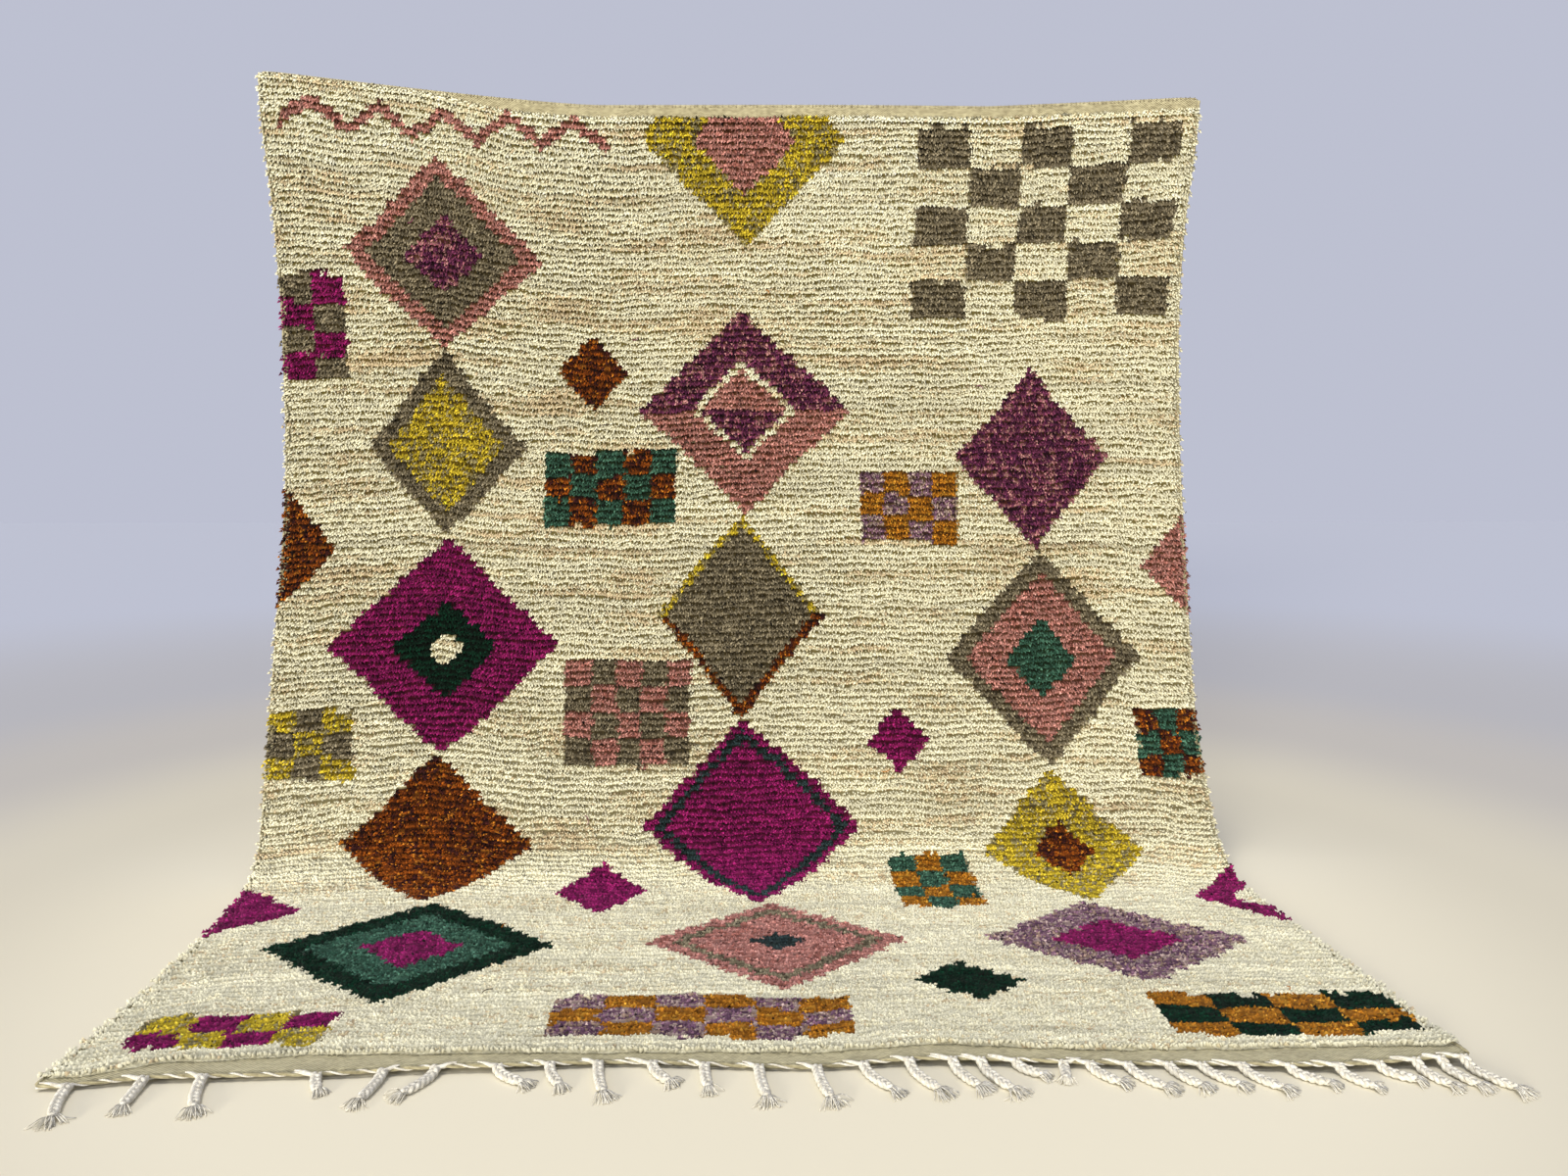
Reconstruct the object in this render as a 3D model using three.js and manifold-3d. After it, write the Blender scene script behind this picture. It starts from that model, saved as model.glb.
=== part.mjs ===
// A hand-knotted Berber wool rug, hung by its top edge. Most of it hangs like a curtain, and the rest curves forward
// and lies on the floor, ending in a flat-woven hem with thirty cotton plaits.
// Millimetres. X runs to the right, Y away from the viewer, Z up, and the floor is at Z = 0.
// The solid is the rug's real shape: a thick slab of pile on its ground weave, with thin bare bands at both ends.

import * as THREE from 'three';
import * as BufferGeometryUtils from 'three/addons/utils/BufferGeometryUtils.js';
import Module from 'manifold-3d';

// Driving dimensions
const rugWidth = 2000;          // between the selvedges
const pileDepth = 18;           // ground weave and standing pile together
const weaveDepth = 4;           // the bare flat-woven bands
const pileShoulder = 9;         // over which the pile's end rises from the bare weave
const pileLump = 2.2;           // how far handmade pile stands over or under its mean
const lockReach = 7;            // the longest locks that stick out past the selvedge
const selvedgeInset = 5;        // the back of the cloth ends this far inside the pile's edge
const selvedgeWander = 7;       // how far a hand-woven edge strays from straight
const slowWave = 5;             // depth of the slow waves across the hanging part

const sectionStep = 29;         // two rows of knots
const columns = 20;             // strips across the width

// How the rug runs from hem to top edge, seen from the side, on the underside of its cloth
const sideView = [
  { back: 0, up: 0 },
  { back: 300, up: 0 },
  { back: 500, up: 0 },
  { back: 590, up: 0 },
  { back: 692, up: 14 },
  { back: 772, up: 66 },
  { back: 832, up: 160 },
  { back: 888, up: 262 },
  { back: 934, up: 376 },
  { back: 969, up: 498 },
  { back: 1009, up: 680 },
  { back: 1037, up: 850 },
  { back: 1051, up: 1030 },
  { back: 1064, up: 1200 },
  { back: 1054, up: 1380 },
  { back: 1024, up: 1520 },
  { back: 1016, up: 1612 },
];

// The hem isn't straight: how far each place lies toward the viewer, how high it lifts off the floor,
// and how wide the bare band is there
const hemLine = [
  { across: -1000, out: 54, lift: 4, band: 12 },
  { across: -820, out: 34, lift: 7, band: 34 },
  { across: -640, out: 28, lift: 5, band: 52 },
  { across: -430, out: 15, lift: 8, band: 30 },
  { across: -220, out: 2, lift: 5, band: 20 },
  { across: 60, out: 18, lift: 4, band: 34 },
  { across: 230, out: 6, lift: 9, band: 36 },
  { across: 560, out: 20, lift: 5, band: 32 },
  { across: 790, out: 34, lift: 9, band: 46 },
  { across: 1000, out: 18, lift: 12, band: 24 },
];
const hemPull = 600;            // the length of cloth over which the hem's bow dies away
const hemCurl = 70;             // the length over which the lifted hem comes down to the floor
const footDrift = 66;           // the foot of the rug lies this far to the right of its hanging part

// The top edge sags between its corners
const topCorners = {
  left: { rise: 66, reach: 700 },
  right: { rise: 24, reach: 450 },
};
const topPull = 850;            // the length of cloth over which the raised corners show
const topBand = 24;             // the bare band at the top edge
const topBandHidden = { from: -700, to: -450 };   // left of this the pile reaches the very edge

const cord = { gap: 0.3, depth: 7, height: 7 };   // twined cord along the hem
const plait = { width: 15, height: 10, tuftWidth: 24, tuftHeight: 7, neck: 10, neckHeight: 8 };

// Each plait: where it leaves the hem, and how far its end lies to the right and toward the viewer
const plaits = [
  { across: -953, aside: 34, out: 94 },
  { across: -859, aside: 7, out: 82 },
  { across: -781, aside: 34, out: 91 },
  { across: -627, aside: 23, out: 48 },
  { across: -537, aside: -17, out: 88 },
  { across: -465, aside: -44, out: 73 },
  { across: -381, aside: 58, out: 44 },
  { across: -308, aside: 33, out: 62 },
  { across: -240, aside: 26, out: 94 },
  { across: -164, aside: 40, out: 57 },
  { across: -89, aside: 12, out: 74 },
  { across: -12, aside: 18, out: 99 },
  { across: 70, aside: 25, out: 99 },
  { across: 136, aside: 50, out: 75 },
  { across: 201, aside: 50, out: 87 },
  { across: 263, aside: 42, out: 78 },
  { across: 303, aside: 48, out: 87 },
  { across: 352, aside: 44, out: 38 },
  { across: 420, aside: -8, out: 48 },
  { across: 456, aside: 44, out: 57 },
  { across: 509, aside: 52, out: 70 },
  { across: 567, aside: 42, out: 65 },
  { across: 613, aside: 50, out: 60 },
  { across: 668, aside: 52, out: 67 },
  { across: 733, aside: 55, out: 46 },
  { across: 801, aside: 40, out: 56 },
  { across: 860, aside: 50, out: 40 },
  { across: 915, aside: 31, out: 68 },
  { across: 952, aside: 34, out: 74 },
  { across: 985, aside: 52, out: 86 },
];

const halfWidth = rugWidth / 2;

// Small helpers
const clamp01 = (t) => Math.min(1, Math.max(0, t));
const smooth = (t) => clamp01(t) ** 2 * (3 - 2 * clamp01(t));
const mix = (a, b, t) => a + (b - a) * t;

// The same uneven number from -1 to 1 for the same place in every run
function uneven(i, j) {
  const turn = Math.sin(i * 127.1 + j * 311.7) * 4375.85;
  return 2 * (turn - Math.floor(turn)) - 1;
}

// Reads a column of the hem's table at a place across the rug, eased between its rows
function alongHem(across, column) {
  const last = hemLine.length - 1;
  const place = Math.min(hemLine[last].across, Math.max(hemLine[0].across, across));
  const next = Math.max(1, hemLine.findIndex((row) => row.across >= place));
  const [before, after] = [hemLine[next - 1], hemLine[next]];
  const share = (place - before.across) / (after.across - before.across);
  return mix(before[column], after[column], smooth(share));
}

const sideCurve = new THREE.CatmullRomCurve3(
  sideView.map(({ back, up }) => new THREE.Vector3(0, back, up)),
);
sideCurve.arcLengthDivisions = 800;
const rugLength = sideCurve.getLength();

// How far the top edge stands over its lowest stretch
function topRise(across) {
  const { left, right } = topCorners;
  const leftShare = clamp01((-across - (halfWidth - left.reach)) / left.reach);
  const rightShare = clamp01((across - (halfWidth - right.reach)) / right.reach);
  return left.rise * leftShare ** 1.2 + right.rise * rightShare;
}

// The drape: a point of the cloth, given across and along the flat rug and at a height over its underside
function drape(across, along, height) {
  const share = clamp01(along / rugLength);
  const place = sideCurve.getPointAt(share);
  const way = sideCurve.getTangentAt(share);
  const hanging = smooth((along - 700) / 500);
  const bow = alongHem(across, 'out') * (1 - smooth(along / hemPull));
  const lift = alongHem(across, 'lift') * Math.exp(-((along / hemCurl) ** 2));
  const rise = topRise(across) * smooth((along - (rugLength - topPull)) / topPull);
  const wave = slowWave * hanging * Math.sin(across / 210 + 0.8 + along / 900);
  const drift = footDrift * (1 - smooth(along / 1250)) - footDrift / 2;
  const wander = selvedgeWander * Math.sin(along / 190 + Math.sign(across)) * Math.abs(across / halfWidth) ** 3;
  return new THREE.Vector3(
    across + drift + wander,
    place.y - bow + wave - way.z * height,
    Math.max(0, place.z) + lift + rise + way.y * height,
  );
}

// The bare band at the top edge, which the pile hides at the left
function bareAtTop(across) {
  const { from, to } = topBandHidden;
  return mix(4, topBand, smooth((across - from) / (to - from)));
}

// One closed solid: a grid of sections along the rug and columns across it, above and below,
// with a rim of locks down both selvedges
function rugBody() {
  const places = [];
  const faces = [];
  const pileSections = Math.round(rugLength / sectionStep);
  const sections = pileSections + 5;
  const keep = (point) => places.push(point.x, point.y, point.z) / 3 - 1;

  // Where a section runs and how thick the rug is there
  function section(i, across) {
    const first = alongHem(across, 'band');
    const last = rugLength - bareAtTop(across);
    if (i === 0) return { along: 0, depth: weaveDepth };
    if (i === 1) return { along: first - 2, depth: weaveDepth };
    if (i === sections - 2) return { along: last + 1, depth: weaveDepth };
    if (i === sections - 1) return { along: rugLength, depth: weaveDepth };
    const share = (i - 2) / (sections - 5);
    return { along: mix(first + pileShoulder, last - pileShoulder, share), depth: pileDepth };
  }

  const under = [];
  const over = [];
  const rim = [];
  for (let i = 0; i < sections; i += 1) {
    under.push([]);
    over.push([]);
    rim.push([]);
    for (let j = 0; j <= columns; j += 1) {
      const side = j === 0 ? -1 : j === columns ? 1 : 0;
      const across = mix(-halfWidth, halfWidth, j / columns);
      const { along, depth } = section(i, across);
      const piled = depth === pileDepth;
      const lump = piled ? pileLump * uneven(i, j) : 0;
      under[i].push(keep(drape(across - side * selvedgeInset, along, 0)));
      over[i].push(keep(drape(across - side * selvedgeInset, along, depth + lump)));
      if (side !== 0) {
        const lock = piled ? lockReach * (0.5 + 0.5 * uneven(i, j + 7)) : 0;
        rim[i].push(keep(drape(across + side * lock, along, depth / 2)));
      }
    }
  }

  const quad = (a, b, c, d) => faces.push(a, b, c, a, c, d);
  for (let i = 0; i + 1 < sections; i += 1) {
    for (let j = 0; j < columns; j += 1) {
      quad(over[i][j], over[i][j + 1], over[i + 1][j + 1], over[i + 1][j]);
      quad(under[i][j], under[i + 1][j], under[i + 1][j + 1], under[i][j + 1]);
    }
    quad(under[i][0], rim[i][0], rim[i + 1][0], under[i + 1][0]);
    quad(rim[i][0], over[i][0], over[i + 1][0], rim[i + 1][0]);
    quad(rim[i][1], under[i][columns], under[i + 1][columns], rim[i + 1][1]);
    quad(over[i][columns], rim[i][1], rim[i + 1][1], over[i + 1][columns]);
  }
  const top = sections - 1;
  for (let j = 0; j < columns; j += 1) {
    quad(under[0][j], under[0][j + 1], over[0][j + 1], over[0][j]);
    quad(under[top][j + 1], under[top][j], over[top][j], over[top][j + 1]);
  }
  faces.push(under[0][0], over[0][0], rim[0][0], under[0][columns], rim[0][1], over[0][columns]);
  faces.push(under[top][0], rim[top][0], over[top][0], under[top][columns], over[top][columns], rim[top][1]);
  return closedMesh(places, faces);
}

function closedMesh(places, faces) {
  const geometry = new THREE.BufferGeometry();
  geometry.setAttribute('position', new THREE.Float32BufferAttribute(places, 3));
  geometry.setIndex(faces);
  geometry.computeVertexNormals();
  return geometry;
}

// A closed bar through a list of four-cornered sections, each given clockwise as seen from its start
function fourSidedBar(corners) {
  const places = corners.flat().flatMap((point) => [point.x, point.y, point.z]);
  const faces = [0, 2, 1, 0, 3, 2];
  for (let i = 0; i + 1 < corners.length; i += 1) {
    for (let k = 0; k < 4; k += 1) {
      const [a, b] = [4 * i + k, 4 * i + ((k + 1) % 4)];
      faces.push(a, b + 4, a + 4, a, b, b + 4);
    }
  }
  const end = 4 * (corners.length - 1);
  faces.push(end, end + 1, end + 2, end, end + 2, end + 3);
  return closedMesh(places, faces);
}

// The hem's own front edge, which the cord follows
const hemPoint = (across) => drape(across, 0, 0);

// The twined cord: straight between the same places across the rug as the hem, so the gap stays even
function hemCord() {
  const corners = [];
  for (let j = 0; j <= columns; j += 1) {
    const end = j === 0 ? 1 : j === columns ? -1 : 0;
    const { x, y, z } = hemPoint(mix(-halfWidth, halfWidth, j / columns) + end * selvedgeInset);
    const near = y - cord.gap;
    const low = Math.max(0, z - 1);
    corners.push([
      new THREE.Vector3(x, near, low),
      new THREE.Vector3(x, near, low + cord.height),
      new THREE.Vector3(x, near - cord.depth, low + cord.height),
      new THREE.Vector3(x, near - cord.depth, low),
    ]);
  }
  return fourSidedBar(corners);
}

// A plait leaves the cord straight toward the viewer, comes down to the floor, turns to its own side,
// and ends in a tied neck and a flared tuft, all with a flat underside on the floor
function hemPlait({ across, aside, out }) {
  const root = hemPoint(across);
  const start = new THREE.Vector2(root.x, root.y - cord.gap - cord.depth / 2);
  const end = new THREE.Vector2(root.x + aside, root.y - out);
  const turn = new THREE.Vector2(root.x + aside * 0.1, mix(start.y, end.y, 0.5));
  const route = new THREE.QuadraticBezierCurve(start, turn, end);
  const steps = [
    { share: 0, width: plait.width, height: plait.height * 0.6, low: Math.max(0, root.z - 0.5) },
    { share: 0.12, width: plait.width, height: plait.height * 0.8, low: root.z * 0.6 },
    { share: 0.28, width: plait.width, height: plait.height, low: 0 },
    { share: 0.5, width: plait.width, height: plait.height, low: 0 },
    { share: 0.68, width: plait.width * 0.9, height: plait.height, low: 0 },
    { share: 0.76, width: plait.neck, height: plait.neckHeight, low: 0 },
    { share: 0.9, width: plait.tuftWidth * 0.85, height: plait.tuftHeight, low: 0 },
    { share: 1, width: plait.tuftWidth, height: plait.tuftHeight * 0.5, low: 0 },
  ];
  return fourSidedBar(steps.map(({ share, width, height, low }) => {
    const middle = route.getPoint(share);
    const way = route.getTangent(share);
    const corner = (side, level) => new THREE.Vector3(
      middle.x - way.y * side * width / 2,
      middle.y + way.x * side * width / 2,
      low + level,
    );
    return [corner(-1, 0), corner(1, 0), corner(0.6, height), corner(-0.6, height)];
  }));
}

// Joins closed meshes into one solid
async function joined(geometries) {
  const wasm = await Module();
  wasm.setup();
  const solids = geometries.map((geometry) => {
    const bare = geometry.clone();
    bare.deleteAttribute('normal');
    const merged = BufferGeometryUtils.mergeVertices(bare);
    return new wasm.Manifold(new wasm.Mesh({
      numProp: 3,
      vertProperties: new Float32Array(merged.attributes.position.array),
      triVerts: new Uint32Array(merged.index.array),
    }));
  });
  const whole = solids.reduce((sum, solid) => sum.add(solid)).getMesh();
  return closedMesh(Array.from(whole.vertProperties), Array.from(whole.triVerts));
}

const wool = new THREE.MeshStandardMaterial({ name: 'ivory wool pile', color: 0xe4dcc4, roughness: 0.95, metalness: 0 });
const cotton = new THREE.MeshStandardMaterial({ name: 'white cotton', color: 0xeeece2, roughness: 0.9, metalness: 0 });

const body = new THREE.Mesh(rugBody(), wool);
body.name = 'rug_body';

const fringe = new THREE.Mesh(await joined([hemCord(), ...plaits.map(hemPlait)]), cotton);
fringe.name = 'hem_fringe';

// The whole rug stands with the middle of its footprint over the origin
const group = new THREE.Group();
group.add(body, fringe);
const extent = new THREE.Box3().setFromObject(group);
const middle = extent.getCenter(new THREE.Vector3());
group.position.set(-middle.x, -middle.y, 0);
group.updateMatrixWorld(true);

export default group;
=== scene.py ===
# %% [markdown]
# A hand-knotted wool rug, hung by its top edge
# This lesson builds a thick Berber rug in the order in which a weaver makes one: a plain ground cloth, then
# rows of wool knots whose cut ends stand up as pile, then the hem with its twined cord and cotton plaits.
# The upper two thirds hang straight down, and the foot curves forward and lies on the floor. Everything is
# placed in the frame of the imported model, in metres.

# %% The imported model
import math
from collections import namedtuple

import bpy
import numpy as np
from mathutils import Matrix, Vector


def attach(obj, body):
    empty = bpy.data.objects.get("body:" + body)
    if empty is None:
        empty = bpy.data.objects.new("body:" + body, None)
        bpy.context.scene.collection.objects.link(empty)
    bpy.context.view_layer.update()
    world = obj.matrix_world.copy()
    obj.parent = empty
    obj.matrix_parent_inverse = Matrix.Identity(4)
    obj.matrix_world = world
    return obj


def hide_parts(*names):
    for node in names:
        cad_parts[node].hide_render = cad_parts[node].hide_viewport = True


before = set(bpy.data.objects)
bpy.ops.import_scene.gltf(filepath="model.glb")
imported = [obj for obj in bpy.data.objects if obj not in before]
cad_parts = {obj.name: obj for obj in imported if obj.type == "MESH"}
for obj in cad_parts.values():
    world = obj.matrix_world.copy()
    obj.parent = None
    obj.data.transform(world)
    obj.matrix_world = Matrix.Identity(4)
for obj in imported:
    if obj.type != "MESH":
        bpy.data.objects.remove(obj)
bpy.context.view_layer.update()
MM = 0.001
chance = np.random.default_rng(7)
print("nodes in the frame:", sorted(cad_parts))

# %% [markdown]
# Sizes
# A rug like this is woven about two metres wide. Its knots sit in rows, and a comb beats each row down onto
# several shots of plain weft, so the rows are nearly twice as far apart as the knots within a row. The
# ground weave is 4 mm thick, and its outermost warps are wrapped as selvedges.

# %% Sizes of the rug
RUG_WIDTH = 2000 * MM
HALF_WIDTH = RUG_WIDTH / 2
WEAVE_DEPTH = 4 * MM
ROW_PITCH, KNOT_PITCH = 14.0 * MM, 7.6 * MM
CLOTH_EDGE = HALF_WIDTH - 5 * MM
print(f"{RUG_WIDTH:.2f} m wide, {1 / (ROW_PITCH * KNOT_PITCH):.0f} knots a square metre")

# %% [markdown]
# How the rug hangs
# Cloth keeps its length when it bends. So the drape is a map from the flat rug to space: a place is given
# by how far across and along the flat rug it lies, and by its height over the back of the cloth. A cloth
# simulation would find a shape like this one too, but not the very one that the solid of the model has. The
# side view is a short table of points with a smooth curve through them, measured along its own length.

# %% The side view as a curve
SIDE_VIEW = MM * np.array(
    [  # back from the hem, and up from the floor
        (0, 0), (300, 0), (500, 0), (590, 0), (692, 14), (772, 66),
        (832, 160), (888, 262), (934, 376), (969, 498), (1009, 680), (1037, 850),
        (1051, 1030), (1064, 1200), (1054, 1380), (1024, 1520), (1016, 1612),
    ]
)
STEPS_A_SPAN = 80


def curve_through(points):
    """A centripetal Catmull-Rom curve, as a fine line of points."""
    ends = [2 * points[0] - points[1], *points, 2 * points[-1] - points[-2]]
    t = np.linspace(0, 1, STEPS_A_SPAN, endpoint=False)[:, None]
    spans = []
    for a, b, c, d in zip(ends, ends[1:], ends[2:], ends[3:]):
        ab, bc, cd = (np.linalg.norm(q - p) ** 0.5 for p, q in ((a, b), (b, c), (c, d)))
        enter = ((b - a) / ab - (c - a) / (ab + bc) + (c - b) / bc) * bc
        leave = ((c - b) / bc - (d - b) / (bc + cd) + (d - c) / cd) * bc
        bend = -3 * b + 3 * c - 2 * enter - leave
        spans.append(b + enter * t + bend * t**2 + (2 * b - 2 * c + enter + leave) * t**3)
    return np.vstack([*spans, points[-1:]])


SIDE_LINE = curve_through(SIDE_VIEW)
SIDE_RUN = np.concatenate([[0], np.cumsum(np.linalg.norm(np.diff(SIDE_LINE, axis=0), axis=1))])
RUG_LENGTH = SIDE_RUN[-1]
SIDE_WAY = np.gradient(SIDE_LINE, SIDE_RUN, axis=0)
SIDE_WAY /= np.linalg.norm(SIDE_WAY, axis=1)[:, None]
print(f"the rug is {RUG_WIDTH:.2f} m by {RUG_LENGTH:.3f} m when flat")

# %% [markdown]
# The hem, the top edge and the bands
# No edge of a hand-woven rug is straight. The hem bows in and out and curls off the floor in places, the
# top edge is raised toward its corners, and each end has a band without pile whose width changes along it.
# The hem is a table of what was judged at ten places, and is eased from each place to the next.

# %% The hem, the top edge and the bands
HemPlace = namedtuple("HemPlace", "across out lift band")
HEM_LINE = [  # millimetres across the rug, out from it, up from the floor, and the width of the band
    HemPlace(-1000, 54, 4, 12),
    HemPlace(-820, 34, 7, 34),
    HemPlace(-640, 28, 5, 52),
    HemPlace(-430, 15, 8, 30),
    HemPlace(-220, 2, 5, 20),
    HemPlace(60, 18, 4, 34),
    HemPlace(230, 6, 9, 36),
    HemPlace(560, 20, 5, 32),
    HemPlace(790, 34, 9, 46),
    HemPlace(1000, 18, 12, 24),
]
LEFT_RISE, LEFT_REACH, LEFT_BOW = 66 * MM, 700 * MM, 1.2
RIGHT_RISE, RIGHT_REACH = 24 * MM, 450 * MM
TOP_BAND, TOP_BAND_LEAST = 24 * MM, 4 * MM
TOP_BAND_FROM, TOP_BAND_TO = -700 * MM, -450 * MM
BAND_TO_KNOTS = 4.5 * MM


def smooth(t):
    """An eased step from 0 to 1."""
    t = np.clip(t, 0, 1)
    return t * t * (3 - 2 * t)


def mix(a, b, t):
    return a + (b - a) * t


def along_hem(across, column):
    """Reads a column of the hem's table at places across the rug."""
    places = MM * np.array([row.across for row in HEM_LINE])
    values = MM * np.array([getattr(row, column) for row in HEM_LINE])
    across = np.clip(across, places[0], places[-1])
    after = np.clip(np.searchsorted(places, across), 1, len(places) - 1)
    share = (across - places[after - 1]) / (places[after] - places[after - 1])
    return mix(values[after - 1], values[after], smooth(share))


def top_rise(across):
    """How far the top edge is raised there, which is most at the corners."""
    left = np.clip((-across - (HALF_WIDTH - LEFT_REACH)) / LEFT_REACH, 0, 1)
    right = np.clip((across - (HALF_WIDTH - RIGHT_REACH)) / RIGHT_REACH, 0, 1)
    return LEFT_RISE * left**LEFT_BOW + RIGHT_RISE * right


def first_row(across):
    """Where the first row of knots lies, above the band at the hem."""
    return along_hem(across, "band") + BAND_TO_KNOTS


def last_row(across):
    """Where the last row of knots lies, below the band at the top edge, which ends toward the left."""
    band = mix(TOP_BAND_LEAST, TOP_BAND, smooth((across - TOP_BAND_FROM) / (TOP_BAND_TO - TOP_BAND_FROM)))
    return RUG_LENGTH - band - BAND_TO_KNOTS


print(f"knots from {first_row(0.0):.3f} m to {last_row(0.0):.3f} m along the middle")

# %% [markdown]
# The drape
# The table and the side view together give every place on the rug. A few slow waves, a sideways drift of
# the foot and selvedges that wander by some millimetres are added, because hanging cloth is never flat. The
# solid of the model follows the same rule, but for its top corners, which only here are slightly rounded.

# %% The drape
HEM_PULL, HEM_CURL, TOP_PULL = 600 * MM, 70 * MM, 850 * MM
FOOT_DRIFT, DRIFT_OVER = 66 * MM, 1250 * MM
WAVE, WAVE_FROM, WAVE_OVER = 5 * MM, 700 * MM, 500 * MM
WAVE_ACROSS, WAVE_ALONG, WAVE_START = 210 * MM, 900 * MM, 0.8
WANDER, WANDER_LENGTH, WANDER_BY_EDGE = 7 * MM, 190 * MM, 3
CORNER_DROP, CORNER_REACH = 9 * MM, 18 * MM
STAND = np.array([-18.77, -458.86, 0]) * MM  # brings the middle of the rug's box over the origin


def side_way(along):
    """Which way the cloth runs there, seen from the side, as its steps back and up."""
    back = np.interp(along, SIDE_RUN, SIDE_WAY[:, 0])
    up = np.interp(along, SIDE_RUN, SIDE_WAY[:, 1])
    return back, up


def cloth_ways(along):
    """The directions out of the pile side and up along the cloth."""
    back, up = side_way(along)
    zero = np.zeros_like(back)
    return np.stack([zero, -up, back], axis=-1), np.stack([zero, back, up], axis=-1)


def hanging_share(along):
    """From 0 where the rug lies to 1 where it hangs."""
    return np.clip(side_way(along)[1], 0, 1)


def place(across, along, height):
    """Where a point of the rug is, given on the flat rug and over the back of the cloth."""
    across, along, height = np.broadcast_arrays(across, along, height)
    along = np.clip(along, 0, RUG_LENGTH)
    back = np.interp(along, SIDE_RUN, SIDE_LINE[:, 0])
    up = np.maximum(0, np.interp(along, SIDE_RUN, SIDE_LINE[:, 1]))
    bow = along_hem(across, "out") * (1 - smooth(along / HEM_PULL))
    lift = along_hem(across, "lift") * np.exp(-((along / HEM_CURL) ** 2))
    rise = top_rise(across) * smooth((along - (RUG_LENGTH - TOP_PULL)) / TOP_PULL)
    beyond = smooth((np.abs(across) - (HALF_WIDTH - CORNER_REACH)) / CORNER_REACH)
    corner = CORNER_DROP * beyond * smooth((along - (RUG_LENGTH - CORNER_REACH)) / CORNER_REACH)
    turn = across / WAVE_ACROSS + WAVE_START + along / WAVE_ALONG
    wave = WAVE * smooth((along - WAVE_FROM) / WAVE_OVER) * np.sin(turn)
    drift = FOOT_DRIFT * (0.5 - smooth(along / DRIFT_OVER))
    stray = np.sin(along / WANDER_LENGTH + np.sign(across)) * np.abs(across / HALF_WIDTH) ** WANDER_BY_EDGE
    x, y, z = across + drift + WANDER * stray, back - bow + wave, up + lift + rise - corner
    return np.stack([x, y, z], axis=-1) + cloth_ways(along)[0] * height[..., None] + STAND


print("top corners", place(np.array([-HALF_WIDTH, HALF_WIDTH]), RUG_LENGTH, 0.0).round(3).tolist())

# %% [markdown]
# Helpers
# Colours are written as the hex values that a screen shows, and turned to the linear values that Blender
# mixes. A cloudy noise of our own gives the slow unevenness of handwork to numbers that no node sees.

# %% Colour and noise
LATTICE = 64
CLOUDS_FROM = (17.3, 9.7)


def linear(hex_colour):
    """An sRGB hex colour as the linear colour that nodes and attributes hold."""
    parts = [int(hex_colour.lstrip("#")[i : i + 2], 16) / 255 for i in (0, 2, 4)]
    return (*(c / 12.92 if c <= 0.04045 else ((c + 0.055) / 1.055) ** 2.4 for c in parts), 1.0)


def cloudy(x, y, size, seed):
    """Smooth noise from -1 to 1 whose clouds are about size across."""
    lattice = np.random.default_rng(seed).uniform(-1, 1, (LATTICE, LATTICE))
    x, y = np.asarray(x) / size + CLOUDS_FROM[0], np.asarray(y) / size + CLOUDS_FROM[1]
    i, j = np.floor(x).astype(int), np.floor(y).astype(int)
    u, v = smooth(x - i), smooth(y - j)
    left, right, below, above = i % LATTICE, (i + 1) % LATTICE, j % LATTICE, (j + 1) % LATTICE
    low = mix(lattice[left, below], lattice[right, below], u)
    high = mix(lattice[left, above], lattice[right, above], u)
    return mix(low, high, v)


print("mid grey is", round(linear("#808080")[0], 3), "when linear")


# %% A node with its settings, and a mesh from arrays
def add(tree, kind, inputs=(), **settings):
    """Adds a node with its settings, and links or sets its inputs by name or number."""
    made = tree.nodes.new(kind)
    for name, value in settings.items():
        setattr(made, name, value)
    for socket, value in dict(inputs).items():
        if isinstance(value, bpy.types.NodeSocket):
            tree.links.new(value, made.inputs[socket])
        else:
            made.inputs[socket].default_value = value
    return made


def new_piece(name, places, faces, finish=None):
    """A smooth mesh object at the origin, from arrays of places and of faces."""
    mesh = bpy.data.meshes.new(name)
    mesh.from_pydata(np.asarray(places).reshape(-1, 3).tolist(), [], [tuple(face) for face in faces])
    mesh.polygons.foreach_set("use_smooth", np.ones(len(mesh.polygons), bool))
    if finish:
        mesh.materials.append(finish)
    piece = bpy.data.objects.new(name, mesh)
    bpy.context.scene.collection.objects.link(piece)
    return piece


def give(mesh, name, kind, domain, values):
    """Stores values on a mesh as a named attribute."""
    attribute = mesh.attributes.new(name, kind, domain)
    key = {"FLOAT": "value", "FLOAT_VECTOR": "vector", "FLOAT_COLOR": "color"}[kind]
    attribute.data.foreach_set(key, np.ascontiguousarray(values, dtype=np.float32).ravel())


def with_alpha(colours):
    """Linear colours between 0 and 1, with the fourth value that a colour attribute holds."""
    return np.concatenate([np.clip(colours, 0, 1), np.ones((*colours.shape[:-1], 1))], axis=-1)


def count_triangles(piece):
    piece.data.calc_loop_triangles()
    print(f"{piece.name}: {len(piece.data.loop_triangles)} triangles")


print("a white dye is held as", with_alpha(np.ones((1, 3))).tolist())

# %% [markdown]
# Camera
# The photograph has the wide view of a 27 mm lens on full frame, which is usual for a phone. The camera was
# 0.86 m over the floor and 1.6 m in front of the hem, a little to the right of the rug's middle, and tipped
# down by about six degrees. All this was worked out from the horizon, from the vanishing point of the rug's
# sides on the floor, and from its width along its whole length.

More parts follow.
